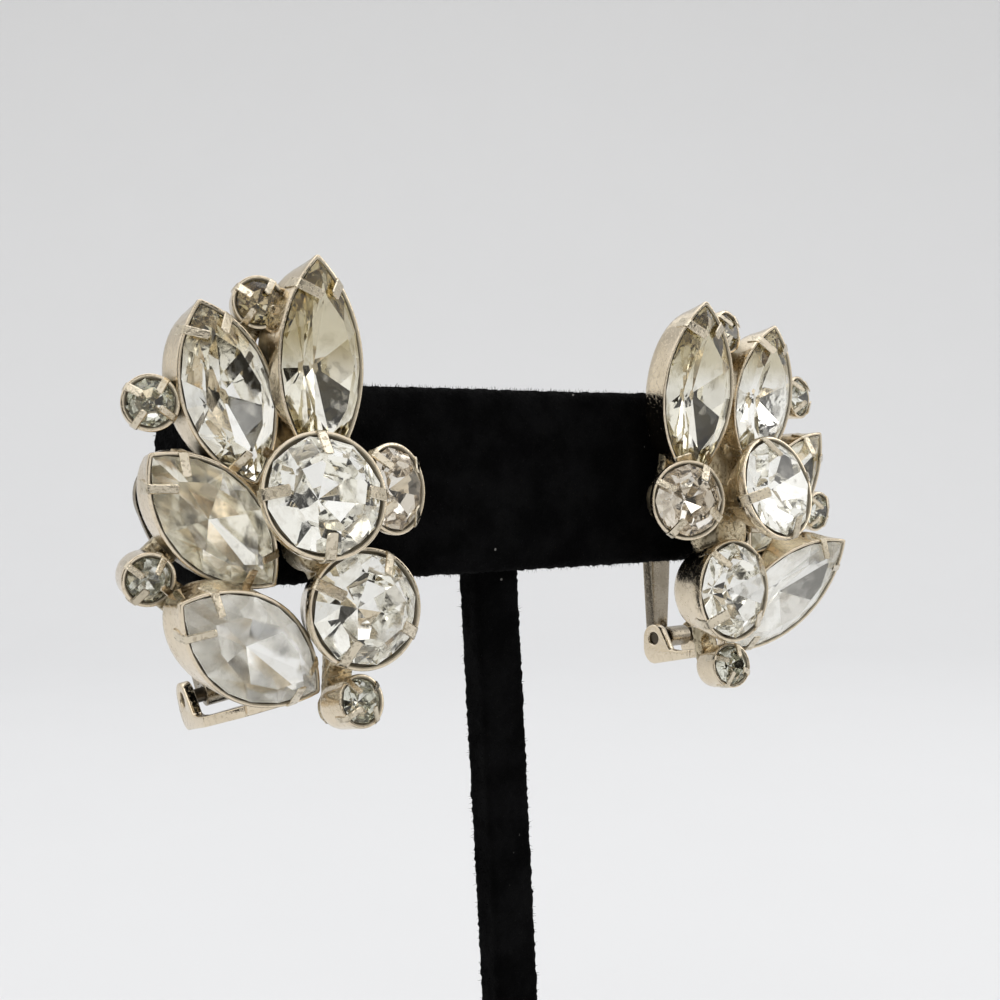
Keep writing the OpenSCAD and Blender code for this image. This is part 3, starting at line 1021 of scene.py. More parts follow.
@dataclass(frozen=True)
class Pose:
    """How the earrings sit on the crossbar."""

    spread: float = 24.4
    toe_out: float = 5.6
    left_turn: float = 10.5
    left_drop: float = 0.4

    def place(self, side: Side) -> Matrix:
        """An earring's frame in the part's frame.

        Args:
            side: The earring.

        Returns:
            Its frame in millimetres. The left one is mirrored.
        """
        bar = shifted(STAND.shift, -STAND.depth / 2, STAND.centre)
        if side is Side.RIGHT:
            return bar @ shifted(self.spread, 0, 0) @ turned("Z", self.toe_out)
        mirror = Matrix.Diagonal((-1, 1, 1, 1))
        drop = shifted(self.spread, 0, -self.left_drop)
        return bar @ mirror @ drop @ turned("Z", self.toe_out) @ turned("Y", self.left_turn)


@dataclass(frozen=True)
class Cups:
    """The eleven cups of one earring."""

    pole: float = 0.05
    lip: float = 0.1
    lip_width: float = 0.08
    lip_round: float = 0.42
    shoulder: float = 0.25
    bottom_edge: float = 0.9
    edge_share: float = 0.25
    blunt: float = 0.75
    run: float = 0.5

    def build(self, side: Side, place: Matrix, plate: Finish, shade: Finish) -> None:
        """Builds the cups as one piece.

        Args:
            side: The earring.
            place: Its frame.
            plate: The finish outside.
            shade: The finish inside, round the stone: a darker copy of the plate, painted shade.
        """
        draft = Draft()
        for stone in STONES:
            self._cup(draft, stone.on(side))
        made = draft.piece(f"cups_{side.value}", place, [plate, shade])
        declare(made, "root", f"setting_{side.value}")

    def _cup(self, draft: Draft, stone: Stone) -> None:
        """Adds one cup.

        Args:
            draft: The mesh to add to.
            stone: The stone that it holds.
        """
        grow = CUT.gap + CUT.wall
        rim = stone.width * CUT.girdle / 2 + self.lip
        foot = grow
        if stone.cut is Cut.ROUND:
            foot = (stone.width / 2 + grow) * stone.foot - stone.width / 2
        edge = min(self.bottom_edge, stone.cup_depth * self.edge_share)
        middle = -stone.width / 2 + self.pole
        ledge = -stone.width * CUT.girdle
        point = -stone.width * CUT.pavilion - CUT.gap
        outside = rounded_path(
            [
                (middle, -stone.cup_depth), (foot, -stone.cup_depth), (grow, -rim), (grow, rim),
                (CUT.gap + self.lip_width, rim),
            ],
            [0, edge, self.shoulder, CUT.wall * self.lip_round, 0],
        )
        rings = []
        for g, z in [outside[0], *self._stepped(outside[1:])]:
            depth = min(1, max(0, -z / stone.cup_depth))
            rings.append(stone.outline(g, z, self.blunt * depth ** 0.8))
        draft.loft(rings, stone.place())
        del draft.faces[-1]  # the cup is open at the front
        inside = [(CUT.gap, rim - self.lip_width), (CUT.gap, ledge), (middle, point)]
        count = len(rings[0])
        last = len(draft.verts) - count
        for g, z in inside:
            draft.verts.extend(stone.place() @ corner for corner in stone.outline(g, z))
        end = len(draft.verts) - count
        within = [*strips(len(inside) + 1, count), [end - last + j for j in range(count)]]
        # the inside walls take the darker finish: painted shade round the stone
        draft.span(last, within, 1)

    def _stepped(self, path: list[tuple[float, float]]) -> list[tuple[float, float]]:
        """Divides a path's long runs, so that a wall can bend between its ends.

        Args:
            path: The path's points.

        Returns:
            The points with more between them.
        """
        fine = [path[0]]
        for a, b in zip(path, path[1:]):
            parts = max(1, round(math.dist(a, b) / self.run))
            for k in range(1, parts + 1):
                fine.append((a[0] + (b[0] - a[0]) * k / parts, a[1] + (b[1] - a[1]) * k / parts))
        return fine


@dataclass(frozen=True)
class Prongs:
    """Folded tabs that hold the stones."""

    thickness: float = 0.22
    root: float = 0.9
    least_reach: float = 0.42
    reach_share: float = 0.12
    reach_spread: tuple[float, float] = (0.88, 1.14)
    least_width: float = 0.38
    width_share: float = 0.075
    width_spread: tuple[float, float] = (0.92, 1.1)
    pinch: tuple[float, float] = (0.2, 0.42)
    twist: float = 6
    navette_step: float = 0.72
    count: int = 4
    clear: float = 0.06
    proud: float = 0.07
    short: float = 0.75
    corner_cut: float = 0.07
    tip_share: float = 0.62
    tip_length: float = 0.09
    tip_narrowing: float = 0.12
    seed: int = 11

    def build(self, side: Side, place: Matrix, plate: Finish) -> None:
        """Builds all the prongs of an earring as one piece.

        Args:
            side: The earring.
            place: Its frame.
            plate: The finish.
        """
        dice = random.Random(self.seed)
        draft = Draft()
        for stone in (row.on(side) for row in STONES):
            for number, foot in enumerate(self._feet(stone)):
                share = self.short if (stone.name, number) in SHORT_PRONGS else 1
                self._tab(draft, stone, stone.place() @ foot, share, dice)
        made = draft.piece(f"prongs_{side.value}", place, [plate])
        declare(made, "root", f"setting_{side.value}")

    def _feet(self, stone: Stone) -> list[Matrix]:
        """Frames on the girdle where a stone's prongs stand, x outward.

        Args:
            stone: The stone.

        Returns:
            One frame for each prong.
        """
        if stone.cut is Cut.ROUND:
            step = 360 / self.count
            return [
                turned("Z", stone.prong_turn + i * step) @ shifted(stone.width / 2, 0, 0)
                for i in range(self.count)
            ]
        feet = []
        for half in (0, 180):
            for end in (-1, 1):
                swing = turned("Z", end * stone.half_arc * self.navette_step)
                centre = shifted(stone.width / 2 - stone.arc, 0, 0)
                feet.append(turned("Z", half) @ centre @ swing @ shifted(stone.arc, 0, 0))
        return feet

    def _tab(self, draft: Draft, stone: Stone, place: Matrix, share: float, dice: random.Random) -> None:
        """Adds one folded tab.

        Args:
            draft: The mesh to add to.
            stone: Its stone.
            place: Its frame on the girdle.
            share: Its reach as a share of the usual one.
            dice: Source of its small differences.
        """
        half_girdle = stone.width * CUT.girdle / 2
        slope = CUT.crown / ((1 - CUT.table) / 2)
        reach = self.least_reach + stone.width * self.reach_share
        reach = reach * dice.uniform(*self.reach_spread) * share
        width = (self.least_width + stone.width * self.width_share) * dice.uniform(*self.width_spread)
        pinch = dice.uniform(*self.pinch)
        stand_off = CUT.gap + CUT.wall + self.proud - self.thickness / 2
        lift = self.clear + self.thickness * self.tip_share
        corner = (stand_off, half_girdle + lift - slope * stand_off * 0.4)
        tip = (-reach, half_girdle + lift + slope * reach)
        hip = (stand_off, -half_girdle - 0.1)
        foot = (stand_off - self._draft_angle(stone) * (self.root + hip[1]), -self.root)
        path = rounded_path([foot, hip, corner, tip], [0, 0.15, 0.22, 0])
        rings = []
        for i, here in enumerate(path):
            ahead = Vector(path[min(i + 1, len(path) - 1)]) - Vector(path[max(i - 1, 0)])
            across = Vector((ahead.y, -ahead.x)).normalized()
            last = i == len(path) - 1
            half_width = width * (1.06 - pinch * i / (len(path) - 1)) / 2
            rings.append(self._section(Vector(here), across, half_width, last))
            if last:
                end = Vector(here) + ahead.normalized() * self.tip_length
                rings.append(self._section(end, across, half_width - self.tip_narrowing, True))
        draft.loft(rings, place @ turned("Z", dice.uniform(-self.twist, self.twist)))

    @staticmethod
    def _draft_angle(stone: Stone) -> float:
        """How much a cup's wall runs inward for each unit of depth.

        Args:
            stone: The cup's stone.

        Returns:
            The slope, 0 for an upright wall.
        """
        if stone.cut is Cut.NAVETTE:
            return 0
        return stone.width / 2 * (1 - stone.foot) / stone.cup_depth

    def _section(self, here: Vector, across: Vector, half_width: float, thin: bool) -> Ring:
        """Section of a tab with broken corners.

        Args:
            here: Its middle in (outward, up).
            across: The way through its thickness.
            half_width: Half its width.
            thin: Whether it is at the tip.

        Returns:
            Its eight corners.
        """
        half = self.thickness / 2 * (self.tip_share if thin else 1)
        thick, wide = half - self.corner_cut, half_width - self.corner_cut
        flat = [
            (half, wide), (thick, half_width), (-thick, half_width), (-half, wide),
            (-half, -wide), (-thick, -half_width), (thick, -half_width), (half, -wide),
        ]
        return [Vector((here.x + across.x * d, y, here.y + across.y * d)) for d, y in flat]


@dataclass(frozen=True)
class Backing:
    """Closed middle, struts, posts and solder that join the cups from behind."""

    back: float = 0.8
    front: float = 1.7
    strut: float = 2.2
    post: float = 1.2
    collar: float = 1.3
    collar_round: float = 0.45
    floor: float = 0.4
    pad_share: float = 0.62
    lump: Point = (-4.2, -4.7)
    lump_front: float = 4.4
    lump_radius: float = 2.1
    lump_round: float = 0.35
    blob: Point = (1.1, 0.5, 0.9)
    voxel: float = 0.17
    waviness: float = 0.03

    def build(self, side: Side, place: Matrix, plate: Finish) -> None:
        """Builds the soldered backing as one skin.

        Args:
            side: The earring.
            place: Its frame.
            plate: The finish.
        """
        stones = {stone.name: stone.on(side) for stone in STONES}
        draft = Draft()
        corners = [stones[name].foot_place() for name in WEB]
        outline = [(corner.x, corner.z) for corner in corners]
        draft.sheet(outline, self.front - self.back, shifted(0, -self.back, 0) @ turned("X", 90))
        for stone in stones.values():
            self._pad(draft, stone)
        for first, second in JOINED:
            self._strut(draft, stones[first].foot_place(), stones[second].foot_place())
            self._solder(draft, stones[first], stones[second])
        out, up = self.lump
        shoulder = self.lump_front - self.lump_round
        draft.rod((out, -self.back, up), (out, -shoulder, up), self.lump_radius, 40)
        wide = self.lump_radius * 0.95
        draft.ball((out, -shoulder, up), (wide, self.lump_round, wide), 12)
        made = draft.piece(f"backing_{side.value}", IN_MM, [plate])
        fuse(made, self.voxel, self.waviness)
        seat(made, side, place)
        declare(made, "root", f"setting_{side.value}")

    def _pad(self, draft: Draft, stone: Stone) -> None:
        """Adds the pad under a cup and the post between them.

        Args:
            draft: The mesh to add to.
            stone: The cup's stone.
        """
        foot = stone.foot_place()
        lie = shifted(foot.x, -self.back, foot.z) @ turned("X", 90) @ turned("Z", -stone.spin)
        thick = self.front - self.back
        half_sizes = stone.width / 2 * self.pad_share, stone.length / 2 * self.pad_share
        flat = Matrix.Diagonal((*half_sizes, 1, 1))
        draft.loft([circle(1, z, 32) for z in (0, thick)], lie @ flat)
        top = -foot.y + self.floor / 2
        if top > self.back:
            draft.rod((foot.x, -self.back, foot.z), (foot.x, -top, foot.z), self.post)
            wide = self.post * self.collar
            draft.ball(foot, (wide, self.collar_round, wide), 8)

    def _strut(self, draft: Draft, start: Vector, end: Vector) -> None:
        """Adds a flat strut with round ends between two places.

        Args:
            draft: The mesh to add to.
            start: One end.
            end: The other end.
        """
        run = Vector((end.x - start.x, end.z - start.z))
        turn = math.degrees(math.atan2(run.y, run.x))
        half = self.strut / 2
        lie = shifted(start.x, -self.back, start.z) @ turned("X", 90) @ turned("Z", turn)
        outline = [(0, -half), (run.length, -half), (run.length, half), (0, half)]
        draft.sheet(outline, self.front - self.back, lie)

    def _solder(self, draft: Draft, first: Stone, second: Stone) -> None:
        """Adds a lump of solder where two cups come close.

        Args:
            draft: The mesh to add to.
            first: One cup's stone.
            second: The other cup's stone.
        """
        a, b = first.foot_place(), second.foot_place()
        middle = (a + b) / 2
        draft.ball((middle.x, -self.front, middle.z), self.blob, 8)


def fuse(made: bpy.types.Object, voxel: float, rough: float) -> None:
    """Remeshes a piece into one skin, softens it and gives it a slight waviness.

    Args:
        made: The piece, drawn in millimetres.
        voxel: Size of the remesh.
        rough: Height of the waviness.
    """
    remesh = made.modifiers.new("fuse", "REMESH")
    remesh.mode = "VOXEL"
    remesh.voxel_size = voxel
    remesh.use_smooth_shade = True
    soften = made.modifiers.new("soften", "SMOOTH")
    soften.factor = 0.5
    soften.iterations = 3
    graph = bpy.context.evaluated_depsgraph_get()
    skin = bpy.data.meshes.new_from_object(made.evaluated_get(graph))
    made.modifiers.clear()
    spots = [(vertex.co.copy(), vertex.normal.copy()) for vertex in skin.vertices]
    moved = [x for point, normal in spots for x in point + normal * noise.noise(point * 1.1) * rough]
    skin.vertices.foreach_set("co", moved)
    skin.materials.clear()
    skin.materials.append(made.data.materials[0])
    made.data = skin
    skin.shade_smooth()


def seat(made: bpy.types.Object, side: Side, place: Matrix) -> None:
    """Moves a piece drawn in millimetres to its place, in metres.

    Args:
        made: The piece.
        side: Its earring.
        place: The earring's frame.
    """
    made.data.transform(Matrix.Scale(MM, 4) @ place)
    if side is Side.LEFT:
        made.data.flip_normals()


def bevel(made: bpy.types.Object, width: float, segments: int, degrees: float) -> None:
    """Rounds a piece's sharp edges.

    Args:
        made: The piece.
        width: Width of the rounding.
        segments: Faces across it.
        degrees: How sharp an edge has to be.
    """
    soft = made.modifiers.new("edges", "BEVEL")
    soft.width = width
    soft.segments = segments
    soft.limit_method = "ANGLE"
    soft.angle_limit = math.radians(degrees)


def settle(made: bpy.types.Object) -> None:
    """Applies a piece's modifiers.

    Args:
        made: The piece.
    """
    graph = bpy.context.evaluated_depsgraph_get()
    done = bpy.data.meshes.new_from_object(made.evaluated_get(graph))
    made.modifiers.clear()
    made.data = done


@dataclass(frozen=True)
class Clip:
    """Clip of one earring: soldered bracket with two hinge eyes, pin and paddle."""

    out: float = 0.4
    up: float = -15.2
    front: float = -6.8
    left_out: float = 1.6
    bottom: float = -17.6
    rise: float = -8.5
    slope: float = 12
    width: float = 6
    sheet: float = 0.8
    eye: float = 1.3
    bore: float = 0.57
    ear_length: float = 4.6
    ear_slope: float = 2
    floor_back: float = 2.6
    tongue_front: float = 1.7
    tongue_gauge: float = 0.9
    tongue_out: float = -0.6
    tongue_width: float = 3.6
    knuckle: float = 0.95
    knuckle_bore: float = 0.6
    knuckle_length: float = 2.6
    neck: float = 2.2
    neck_top: float = 3.4
    pad: float = 6
    shoulder: float = -7
    pad_top: float = 3
    paddle_front: float = -8.55
    gauge: float = 0.5
    flange: float = 0.85
    flange_from: float = 0.78
    flange_fade: float = 2.5
    dish: float = 0.252
    heel_curve: Flat = ((0, 1.3), (0.12, 0.8), (0.45, 0.35), (0.85, 0.08))
    margin: float = 0.05
    rows: int = 72
    columns: tuple[float, ...] = (-1, -0.97, -0.9, -0.8, -0.6, -0.3, 0, 0.3, 0.6, 0.8, 0.9, 0.97, 1)

    def build(self, side: Side, place: Matrix, plate: Finish, dull: Finish, steel: Finish) -> None:
        """Builds the bracket and the paddle and dresses the pin.

        Args:
            side: The earring.
            place: Its frame.
            plate: The bracket's finish.
            dull: The paddle's finish.
            steel: The pin's finish, darkened as painted shade.
        """
        if side is Side.LEFT:
            place = place @ shifted(self.left_out, 0, 0)
        self._bracket(side, place, plate)
        self._paddle(side, place, dull)
        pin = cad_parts[f"hinge_pin_{side.value}"]
        pin.data.materials.clear()
        pin.data.materials.append(steel)
        LOG.info("%s: dressed", pin.name)

    def _floor_up(self, ahead: float) -> float:
        """Height of the floor's underside at a distance in front of the hinge."""
        return self.bottom + ahead * math.tan(math.radians(self.slope))

    def _ear(self) -> list[tuple[float, float]]:
        """Outline of an ear, round its eye.

        Returns:
            Its corners in (front, up).
        """
        round_eye = [
            (self.front + self.eye * math.cos(a), self.up + self.eye * math.sin(a))
            for a in (math.radians(45 + 135 * i / 12) for i in range(13))
        ]
        back, heel, toe = self.front - self.eye, self.front + self.ear_slope, self.front + self.ear_length
        round_heel = [(back + front, self.bottom + up) for front, up in self.heel_curve]
        return round_eye + round_heel + [
            (self.front, self.bottom),
            (toe, self._floor_up(self.ear_length)), (toe, self._floor_up(self.ear_length) + self.sheet),
            (heel + 0.8, self._floor_up(self.ear_slope + 0.8) + self.sheet + 0.1),
            (heel, self._floor_up(self.ear_slope) + self.sheet + 0.3),
        ]

    def _bracket(self, side: Side, place: Matrix, plate: Finish) -> None:
        """Builds the bracket.

        Args:
            side: The earring.
            place: Its frame.
            plate: The finish.
        """
        inner = self.out - self.width / 2
        draft = Draft()
        upright = Matrix(((0, 0, 1, 0), (-1, 0, 0, 0), (0, 1, 0, 0), (0, 0, 0, 1)))
        for edge in (inner, inner + self.width - self.sheet):
            draft.sheet(self._ear(), self.sheet, shifted(edge, 0, 0) @ upright)
        made = draft.piece(f"clip_bracket_{side.value}", IN_MM, [plate])
        drill = Draft()
        ends = inner - 2, inner + self.width + 2
        drill.rod(*((end, -self.front, self.up) for end in ends), self.bore, 32)
        tool = drill.piece("drill", IN_MM, [plate])
        cut = made.modifiers.new("eyes", "BOOLEAN")
        cut.operation = "DIFFERENCE"
        cut.solver = "EXACT"
        cut.object = tool
        settle(made)
        bpy.data.objects.remove(tool)
        rest = Draft()
        half = self.tongue_width / 2
        left, right = self.tongue_out - half, self.tongue_out + half
        first, second = inner + self.margin, inner + self.width - self.margin
        back, toe = -self.front - self.floor_back, -self.front - self.ear_length
        near, far = -self.tongue_front, self.tongue_gauge - self.tongue_front
        floor = [(first, back), (first, toe), (left, far), (right, far), (second, toe), (second, back)]
        rest.sheet(floor, self.sheet, self._floor_slope())
        foot = self._floor_up(self.tongue_front - self.front)
        tongue = [(left, near), (right, near), (right, far), (left, far)]
        rest.sheet(tongue, self.rise - foot, shifted(0, 0, foot))
        strap = rest.piece("strap", IN_MM, [plate])
        bm = bmesh.new()
        bm.from_mesh(made.data)
        bm.from_mesh(strap.data)
        bm.to_mesh(made.data)
        bm.free()
        bpy.data.objects.remove(strap)
        bevel(made, 0.13, 3, 40)
        settle(made)
        made.data.shade_smooth()
        made.data.set_sharp_from_angle(angle=math.radians(40))
        seat(made, side, place)
        declare(made, "root", f"setting_{side.value}")

    def _floor_slope(self) -> Matrix:
        """Leans a level sheet so that it lies on the bracket's sloping floor.

        Returns:
            The shear and rise that do it.
        """
        lean = math.tan(math.radians(self.slope))
        rise = self.bottom - self.front * lean
        return Matrix(((1, 0, 0, 0), (0, 1, 0, 0), (0, -lean, 1, rise), (0, 0, 0, 1)))

    def _half_width(self, up: float) -> float:
        """Half the paddle's width at a height.

        Args:
            up: Height in the earring's frame.

        Returns:
            The half width.
        """
        radius = self.pad / 2
        centre = self.pad_top - radius
        if up >= centre:
            return math.sqrt(max(radius ** 2 - (up - centre) ** 2, 0.0025))
        if up >= self.shoulder:
            share = (up - self.shoulder) / (centre - self.shoulder)
            ease = share * share * (3 - 2 * share)
            return self.neck_top / 2 + (radius - self.neck_top / 2) * ease
        share = (up - self.up) / (self.shoulder - self.up)
        return self.neck / 2 + (self.neck_top - self.neck) / 2 * share

    def _paddle(self, side: Side, place: Matrix, plate: Finish) -> None:
        """Builds the paddle: knuckle, neck with turned-back edges, dished pad with a raised rim.

        Args:
            side: The earring.
            place: Its frame.
            plate: The finish.
        """
        low, high = self.up - 0.3, self.pad_top - 0.02
        draft = Draft()
        points = []
        for i in range(self.rows + 1):
            up = low + (high - low) * (1 - (1 - i / self.rows) ** 1.35)
            half = self._half_width(max(up, self.up))
            fade = min(1.0, max(0.0, (self.shoulder + 1.2 - up) / self.flange_fade))
            for u in self.columns:
                edge = max(0.0, (abs(u) - self.flange_from) / (1 - self.flange_from))
                back = self.flange * fade * edge ** 1.4
                radial = math.hypot(u * half, up - (self.pad_top - self.pad / 2)) / (self.pad / 2)
                dish = self.dish * (1 - fade) * (min(radial, 1.0) ** 2 - 1)
                points.append(Vector((self.out + u * half, -self.paddle_front + back - dish, up)))
        draft.add(points, strips(self.rows + 1, len(self.columns), closed=False), Matrix.Identity(4))
        made = draft.piece(f"clip_plate_{side.value}", IN_MM, [plate])
        thick = made.modifiers.new("thickness", "SOLIDIFY")
        thick.thickness = self.gauge
        thick.offset = -1 if made.data.polygons[0].normal.y < 0 else 1
        bevel(made, 0.12, 2, 50)
        settle(made)
        made.data.shade_smooth()
        made.data.set_sharp_from_angle(angle=math.radians(45))
        seat(made, side, place)
        declare(made, f"clip_{side.value}", f"clip_paddle_{side.value}")
        self._knuckle(side, place, plate)

    def _knuckle(self, side: Side, place: Matrix, plate: Finish) -> None:
        """Builds the rolled knuckle and the web that joins it to the neck.

        Args:
            side: The earring.
            place: Its frame.
            plate: The finish.
        """
        draft = Draft()
        bore, half = self.knuckle_bore, self.knuckle_length / 2
        corners = [(bore, -half), (self.knuckle, -half), (self.knuckle, half), (bore, half)]
        path = rounded_path(corners, [0, 0.1, 0.1, 0], 3)
        rings = [circle(radius, z, 40) for radius, z in [*path, (bore, -half)]]
        lie = shifted(self.out, -self.front, self.up) @ turned("Y", 90)
        draft.add([point for ring in rings for point in ring], strips(len(rings), len(rings[0])), lie)
        web = self.neck / 2 - self.margin
        top, bottom = self.up + 0.42, self.up - 0.48
        near, far = -self.front + bore + 0.12, -self.paddle_front + 0.3
        outline = [(-web, near), (web, near), (web, far), (-web, far)]
        draft.sheet(outline, top - bottom, shifted(self.out, 0, bottom))
        made = draft.piece(f"clip_knuckle_{side.value}", place, [plate])
        shell = bmesh.new()
        shell.from_mesh(made.data)
        bmesh.ops.remove_doubles(shell, verts=shell.verts, dist=1e-7)
        bmesh.ops.recalc_face_normals(shell, faces=shell.faces)
        shell.to_mesh(made.data)
        shell.free()
        declare(made, f"clip_{side.value}", f"clip_paddle_{side.value}")


@dataclass(frozen=True)
class Crystals:
    """The eleven stones of one earring, each its own piece."""

    def build(self, side: Side, place: Matrix, glass: Finish, foils: dict[str, Finish]) -> None:
        """Builds the stones.

        Args:
            side: The earring.
            place: Its frame.
            glass: The crown's finish.
            foils: Foil finishes by stone name, with "other" for the rest.
        """
        for row in STONES:
            draft = Draft()
            row.on(side).draw(draft)
            foil = foils.get(row.name, foils["other"])
            made = draft.piece(f"crystal_{row.name}_{side.value}", place, [glass, foil], 0)
            declare(made, "root", f"stone_{row.name}_{side.value}")


@dataclass(frozen=True)
class Studio:
    """Camera, pale sweep of paper, soft lights and the dark cards that the stones mirror."""

    eye: Point = (-0.073259, -0.098603, 0.093463)
    yaw: float = -0.62
    pitch: float = -0.025895
    roll: float = 0.0077691
    lens: float = 51.44
    sensor: float = 36
    aim: Point = (0.012, 0.004, 0.09)
    floor_lines: tuple[float, ...] = (-1.6, -0.3, 0.1)
    rise_at: float = 0.55
    rise_radius: float = 0.5
    dark: Colour = (0.02, 0.018, 0.015)
    room: tuple[tuple[float, Colour], ...] = (
        (0.0, (0.3, 0.26, 0.21)), (0.45, (0.68, 0.65, 0.6)),
        (0.6, (1.0, 0.995, 0.98)), (1.0, (1.2, 1.2, 1.22)),
    )
    room_light: float = 0.92
    bounces: int = 20

    def build(self) -> None:
        """Builds the whole studio."""
        scene = bpy.context.scene
        scene.view_settings.view_transform = "Standard"
        scene.view_settings.look = "None"
        scene.cycles.max_bounces = self.bounces + 4
        scene.cycles.glossy_bounces = self.bounces
        scene.cycles.transmission_bounces = self.bounces
        self._camera(scene)
        self._paper()
        self._world(scene)
        self._lights()
        self._cards()

    def _camera(self, scene: bpy.types.Scene) -> None:
        """Places the camera at the photograph's viewpoint.

        Args:
            scene: The scene that it films.
        """
        data = bpy.data.cameras.new("camera")
        data.lens = self.lens
        data.sensor_width = self.sensor
        data.clip_start = 0.005
        made = bpy.data.objects.new("camera", data)
        turn = Matrix.Rotation(self.yaw, 4, "Z") @ Matrix.Rotation(self.pitch, 4, "X")
        turn = turn @ Matrix.Rotation(self.roll, 4, "Y") @ Matrix.Rotation(math.pi / 2, 4, "X")
        made.matrix_world = Matrix.Translation(self.eye) @ turn
        scene.collection.objects.link(made)
        scene.camera = made

    def _paper(self) -> None:
        """Lays the floor and its curved rise behind the object."""
        profile = [(y, 0.0) for y in (*self.floor_lines, self.rise_at)]
        for i in range(1, 25):
            turn = math.pi / 2 * i / 24
            bend = self.rise_radius
            profile.append((self.rise_at + bend * math.sin(turn), bend * (1 - math.cos(turn))))
        profile.append((self.rise_at + self.rise_radius, 1.7))
        turn = Matrix.Rotation(self.yaw, 4, "Z")
        points = [turn @ Vector((x, y, z)) for x in (-1.8, 1.8) for y, z in profile]
        count = len(profile)
        faces = [[i, i + 1, count + i + 1, count + i] for i in range(count - 1)]
        mesh = bpy.data.meshes.new("paper_sweep")
        mesh.from_pydata(points, [], faces)
        mesh.materials.append(StudioPaper().material())
        mesh.shade_smooth()
        made = bpy.data.objects.new("paper_sweep", mesh)
        bpy.context.scene.collection.objects.link(made)

    def _world(self, scene: bpy.types.Scene) -> None:
        """Fills the room with a soft grey that is warmer low down.

        Args:
            scene: The scene.
        """
        world = bpy.data.worlds.new("room")
        scene.world = world
        world.use_nodes = True
        sheet = NodeSheet(world.node_tree)
        way = sheet.node("ShaderNodeTexCoord", {}, {}, "Generated")
        height = sheet.node("ShaderNodeSeparateXYZ", {}, {0: way}, 2)
        colour = sheet.node("ShaderNodeValToRGB", {"stops": self.room}, {0: height * 0.5 + 0.5})
        sky = sheet.node("ShaderNodeBackground", {}, {"Color": colour, "Strength": self.room_light})
        sheet.node("ShaderNodeOutputWorld", {}, {"Surface": sky})

    def _lights(self) -> None:
        """Hangs the soft lights."""
        rows = (
            ("key", (-0.45, -0.35, 0.75), 0.5, 1.2, (1.0, 0.985, 0.95)),
            ("side", (0.55, -0.3, 0.35), 0.35, 0.5, (1.0, 0.98, 0.95)),
            ("top", (0.1, 0.1, 0.9), 0.8, 0.6, (1.0, 1.0, 1.0)),
            ("back", (0.2, 0.25, 0.6), 0.6, 0.5, (0.97, 0.985, 1.0)),
        )
        for name, place, size, power, colour in rows:
            data = bpy.data.lights.new(name, "AREA")
            data.size = size
            data.energy = power
            data.color = colour
            made = bpy.data.objects.new(name, data)
            made.location = place
            way = Vector(self.aim) - Vector(place)
            made.rotation_euler = way.to_track_quat("-Z", "Y").to_euler()
            made.visible_camera = False
            bpy.context.scene.collection.objects.link(made)

    def _cards(self) -> None:
        """Stands dark and bright cards where only reflections see them."""
        rows = (
            ("card_eye", (-0.193, -0.242, 0.096), (0.17, 0.2), self.dark, 1.0),
            ("card_left", (-0.306, -0.028, 0.09), (0.2, 0.22), self.dark, 1.0),
            ("card_high", (-0.14, -0.18, 0.305), (0.165, 0.16), self.dark, 1.0),
            ("card_right", (0.16, -0.3, 0.14), (0.12, 0.12), self.dark, 1.0),
            ("card_bright_side", (-0.3, -0.3, 0.14), (0.06, 0.2), (1.0, 0.99, 0.96), 4.0),
        )
        for name, place, size, colour, strength in rows:
            self._card(name, place, size, colour, strength)

    def _card(self, name: str, place: Point, size: Point, colour: Colour, strength: float) -> None:
        """Stands one card, facing the object.

        Args:
            name: The card.
            place: Its middle.
            size: Width and height.
            colour: What it sends out.
            strength: How strongly.
        """
        material, sheet = new_sheet(name)
        glow = sheet.node("ShaderNodeEmission", {}, {"Color": (*colour, 1), "Strength": strength})
        sheet.node("ShaderNodeOutputMaterial", {}, {"Surface": glow})
        half = Vector(size) / 2
        mesh = bpy.data.meshes.new(name)
        corners = [(half.x * x, half.y * y, 0) for x, y in ((-1, -1), (1, -1), (1, 1), (-1, 1))]
        mesh.from_pydata(corners, [], [[0, 1, 2, 3]])
        mesh.materials.append(material)
        made = bpy.data.objects.new(name, mesh)
        made.location = place
        way = Vector(self.aim) - Vector(place)
        made.rotation_euler = way.to_track_quat("Z", "Y").to_euler()
        made.visible_camera = False
        made.visible_diffuse = False
        made.visible_shadow = False
        bpy.context.scene.collection.objects.link(made)


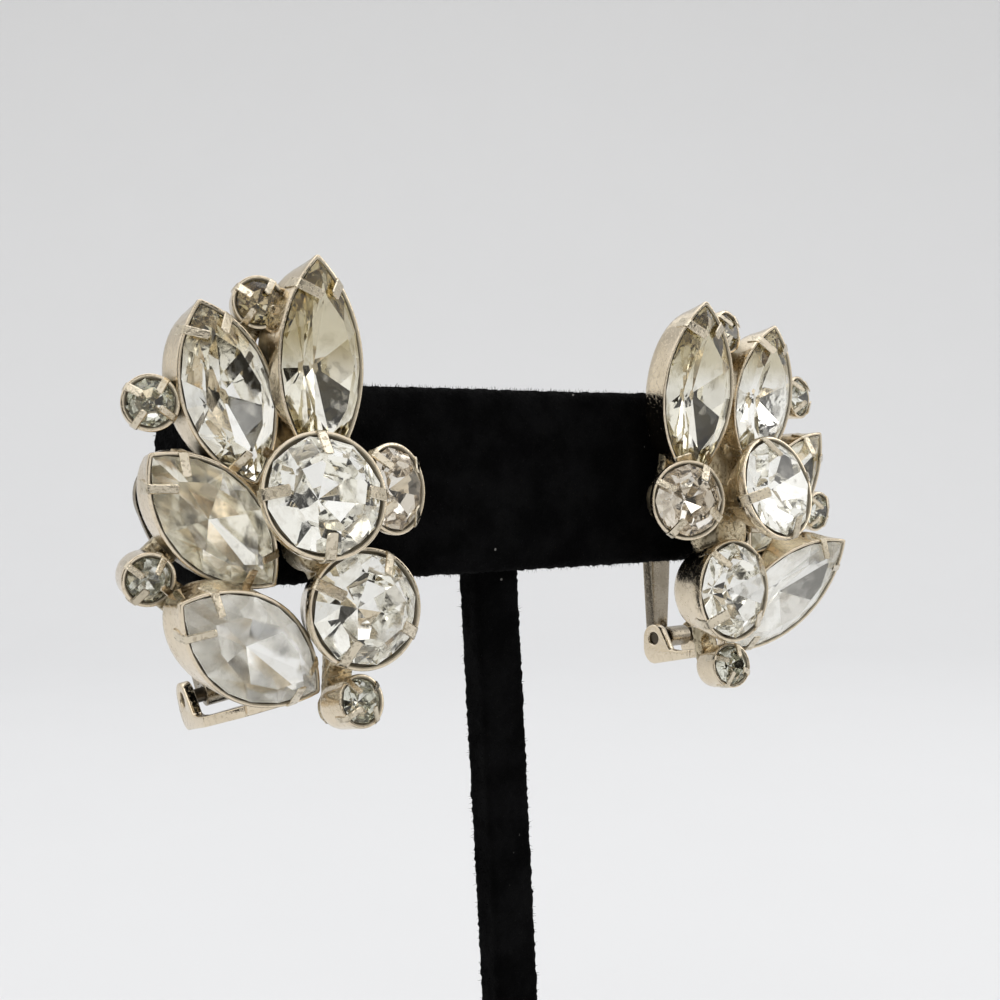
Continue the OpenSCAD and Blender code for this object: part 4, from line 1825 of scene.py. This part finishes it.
def main() -> None:
    """Builds the studio, the stand and both earrings."""
    logging.basicConfig(level=logging.INFO, format="%(message)s")
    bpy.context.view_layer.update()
    Studio().build()
    plate = SilverPlate().material()
    # a darker, less metallic copy of the plate for the cups' insides: painted shade
    shade = SilverPlate(
        "cup_inside_painted_shade", bright=(0.5, 0.44, 0.33, 1), worn=(0.36, 0.3, 0.21, 1), olive=(0.42, 0.36, 0.26, 1),
        corner=(0.3, 0.25, 0.17, 1), polish=0.4, metallic=0.35,
    ).material()
    tabs = SilverPlate(
        "prong_plate", (0.72, 0.64, 0.5, 1), (0.36, 0.31, 0.22, 1), polish=0.15, specks=0.6, pitting=0.014,
    ).material()
    solder = SilverPlate(
        "solder_plate", (0.54, 0.465, 0.325, 1), (0.2, 0.16, 0.095, 1), (0.29, 0.24, 0.155, 1),
        polish=0.24, specks=0.85, pitting=0.035,
    ).material()
    dull = SilverPlate("paddle_plate", (0.34, 0.3, 0.235, 1), (0.2, 0.17, 0.13, 1), polish=0.18).material()
    steel = PinSteel().material()
    glass = CrystalGlass().material()
    clear = FoilBack("foil_clear", (0.96, 0.955, 0.93, 1), (0.55, 0.5, 0.4, 1), 0.25)
    olive = FoilBack("foil_olive", (0.95, 0.935, 0.88, 1), (0.45, 0.4, 0.27, 1), 0.4)
    grey = FoilBack("foil_grey", (0.84, 0.84, 0.79, 1), (0.3, 0.29, 0.23, 1), 0.7)
    dim = FoilBack("foil_dim", (0.86, 0.825, 0.77, 1), (0.46, 0.4, 0.31, 1), 0.4)
    pale = FoilBack("foil_pale", (0.99, 0.985, 0.965, 1), (0.66, 0.62, 0.53, 1), 0.25, haze=0.15)
    soft = replace(olive, name="foil_hazy", haze=0.09)
    aged = olive.material()
    mottled = grey.material()
    foils = {
        "other": clear.material(), "round_inner": dim.material(),
        "navette_inner": aged, "navette_lower": pale.material(), "navette_outer": soft.material(),
        "small_top": mottled, "small_upper": mottled, "small_outer": mottled, "small_bottom": mottled,
    }
    STAND.build(BlackVelvet().material())
    for side in Side:
        place = Pose().place(side)
        Crystals().build(side, place, glass, foils)
        Cups().build(side, place, plate, shade)
        Prongs().build(side, place, tabs)
        Backing().build(side, place, solder)
        Clip().build(side, place, plate, dull, steel)


if __name__ == "__main__":
    main()
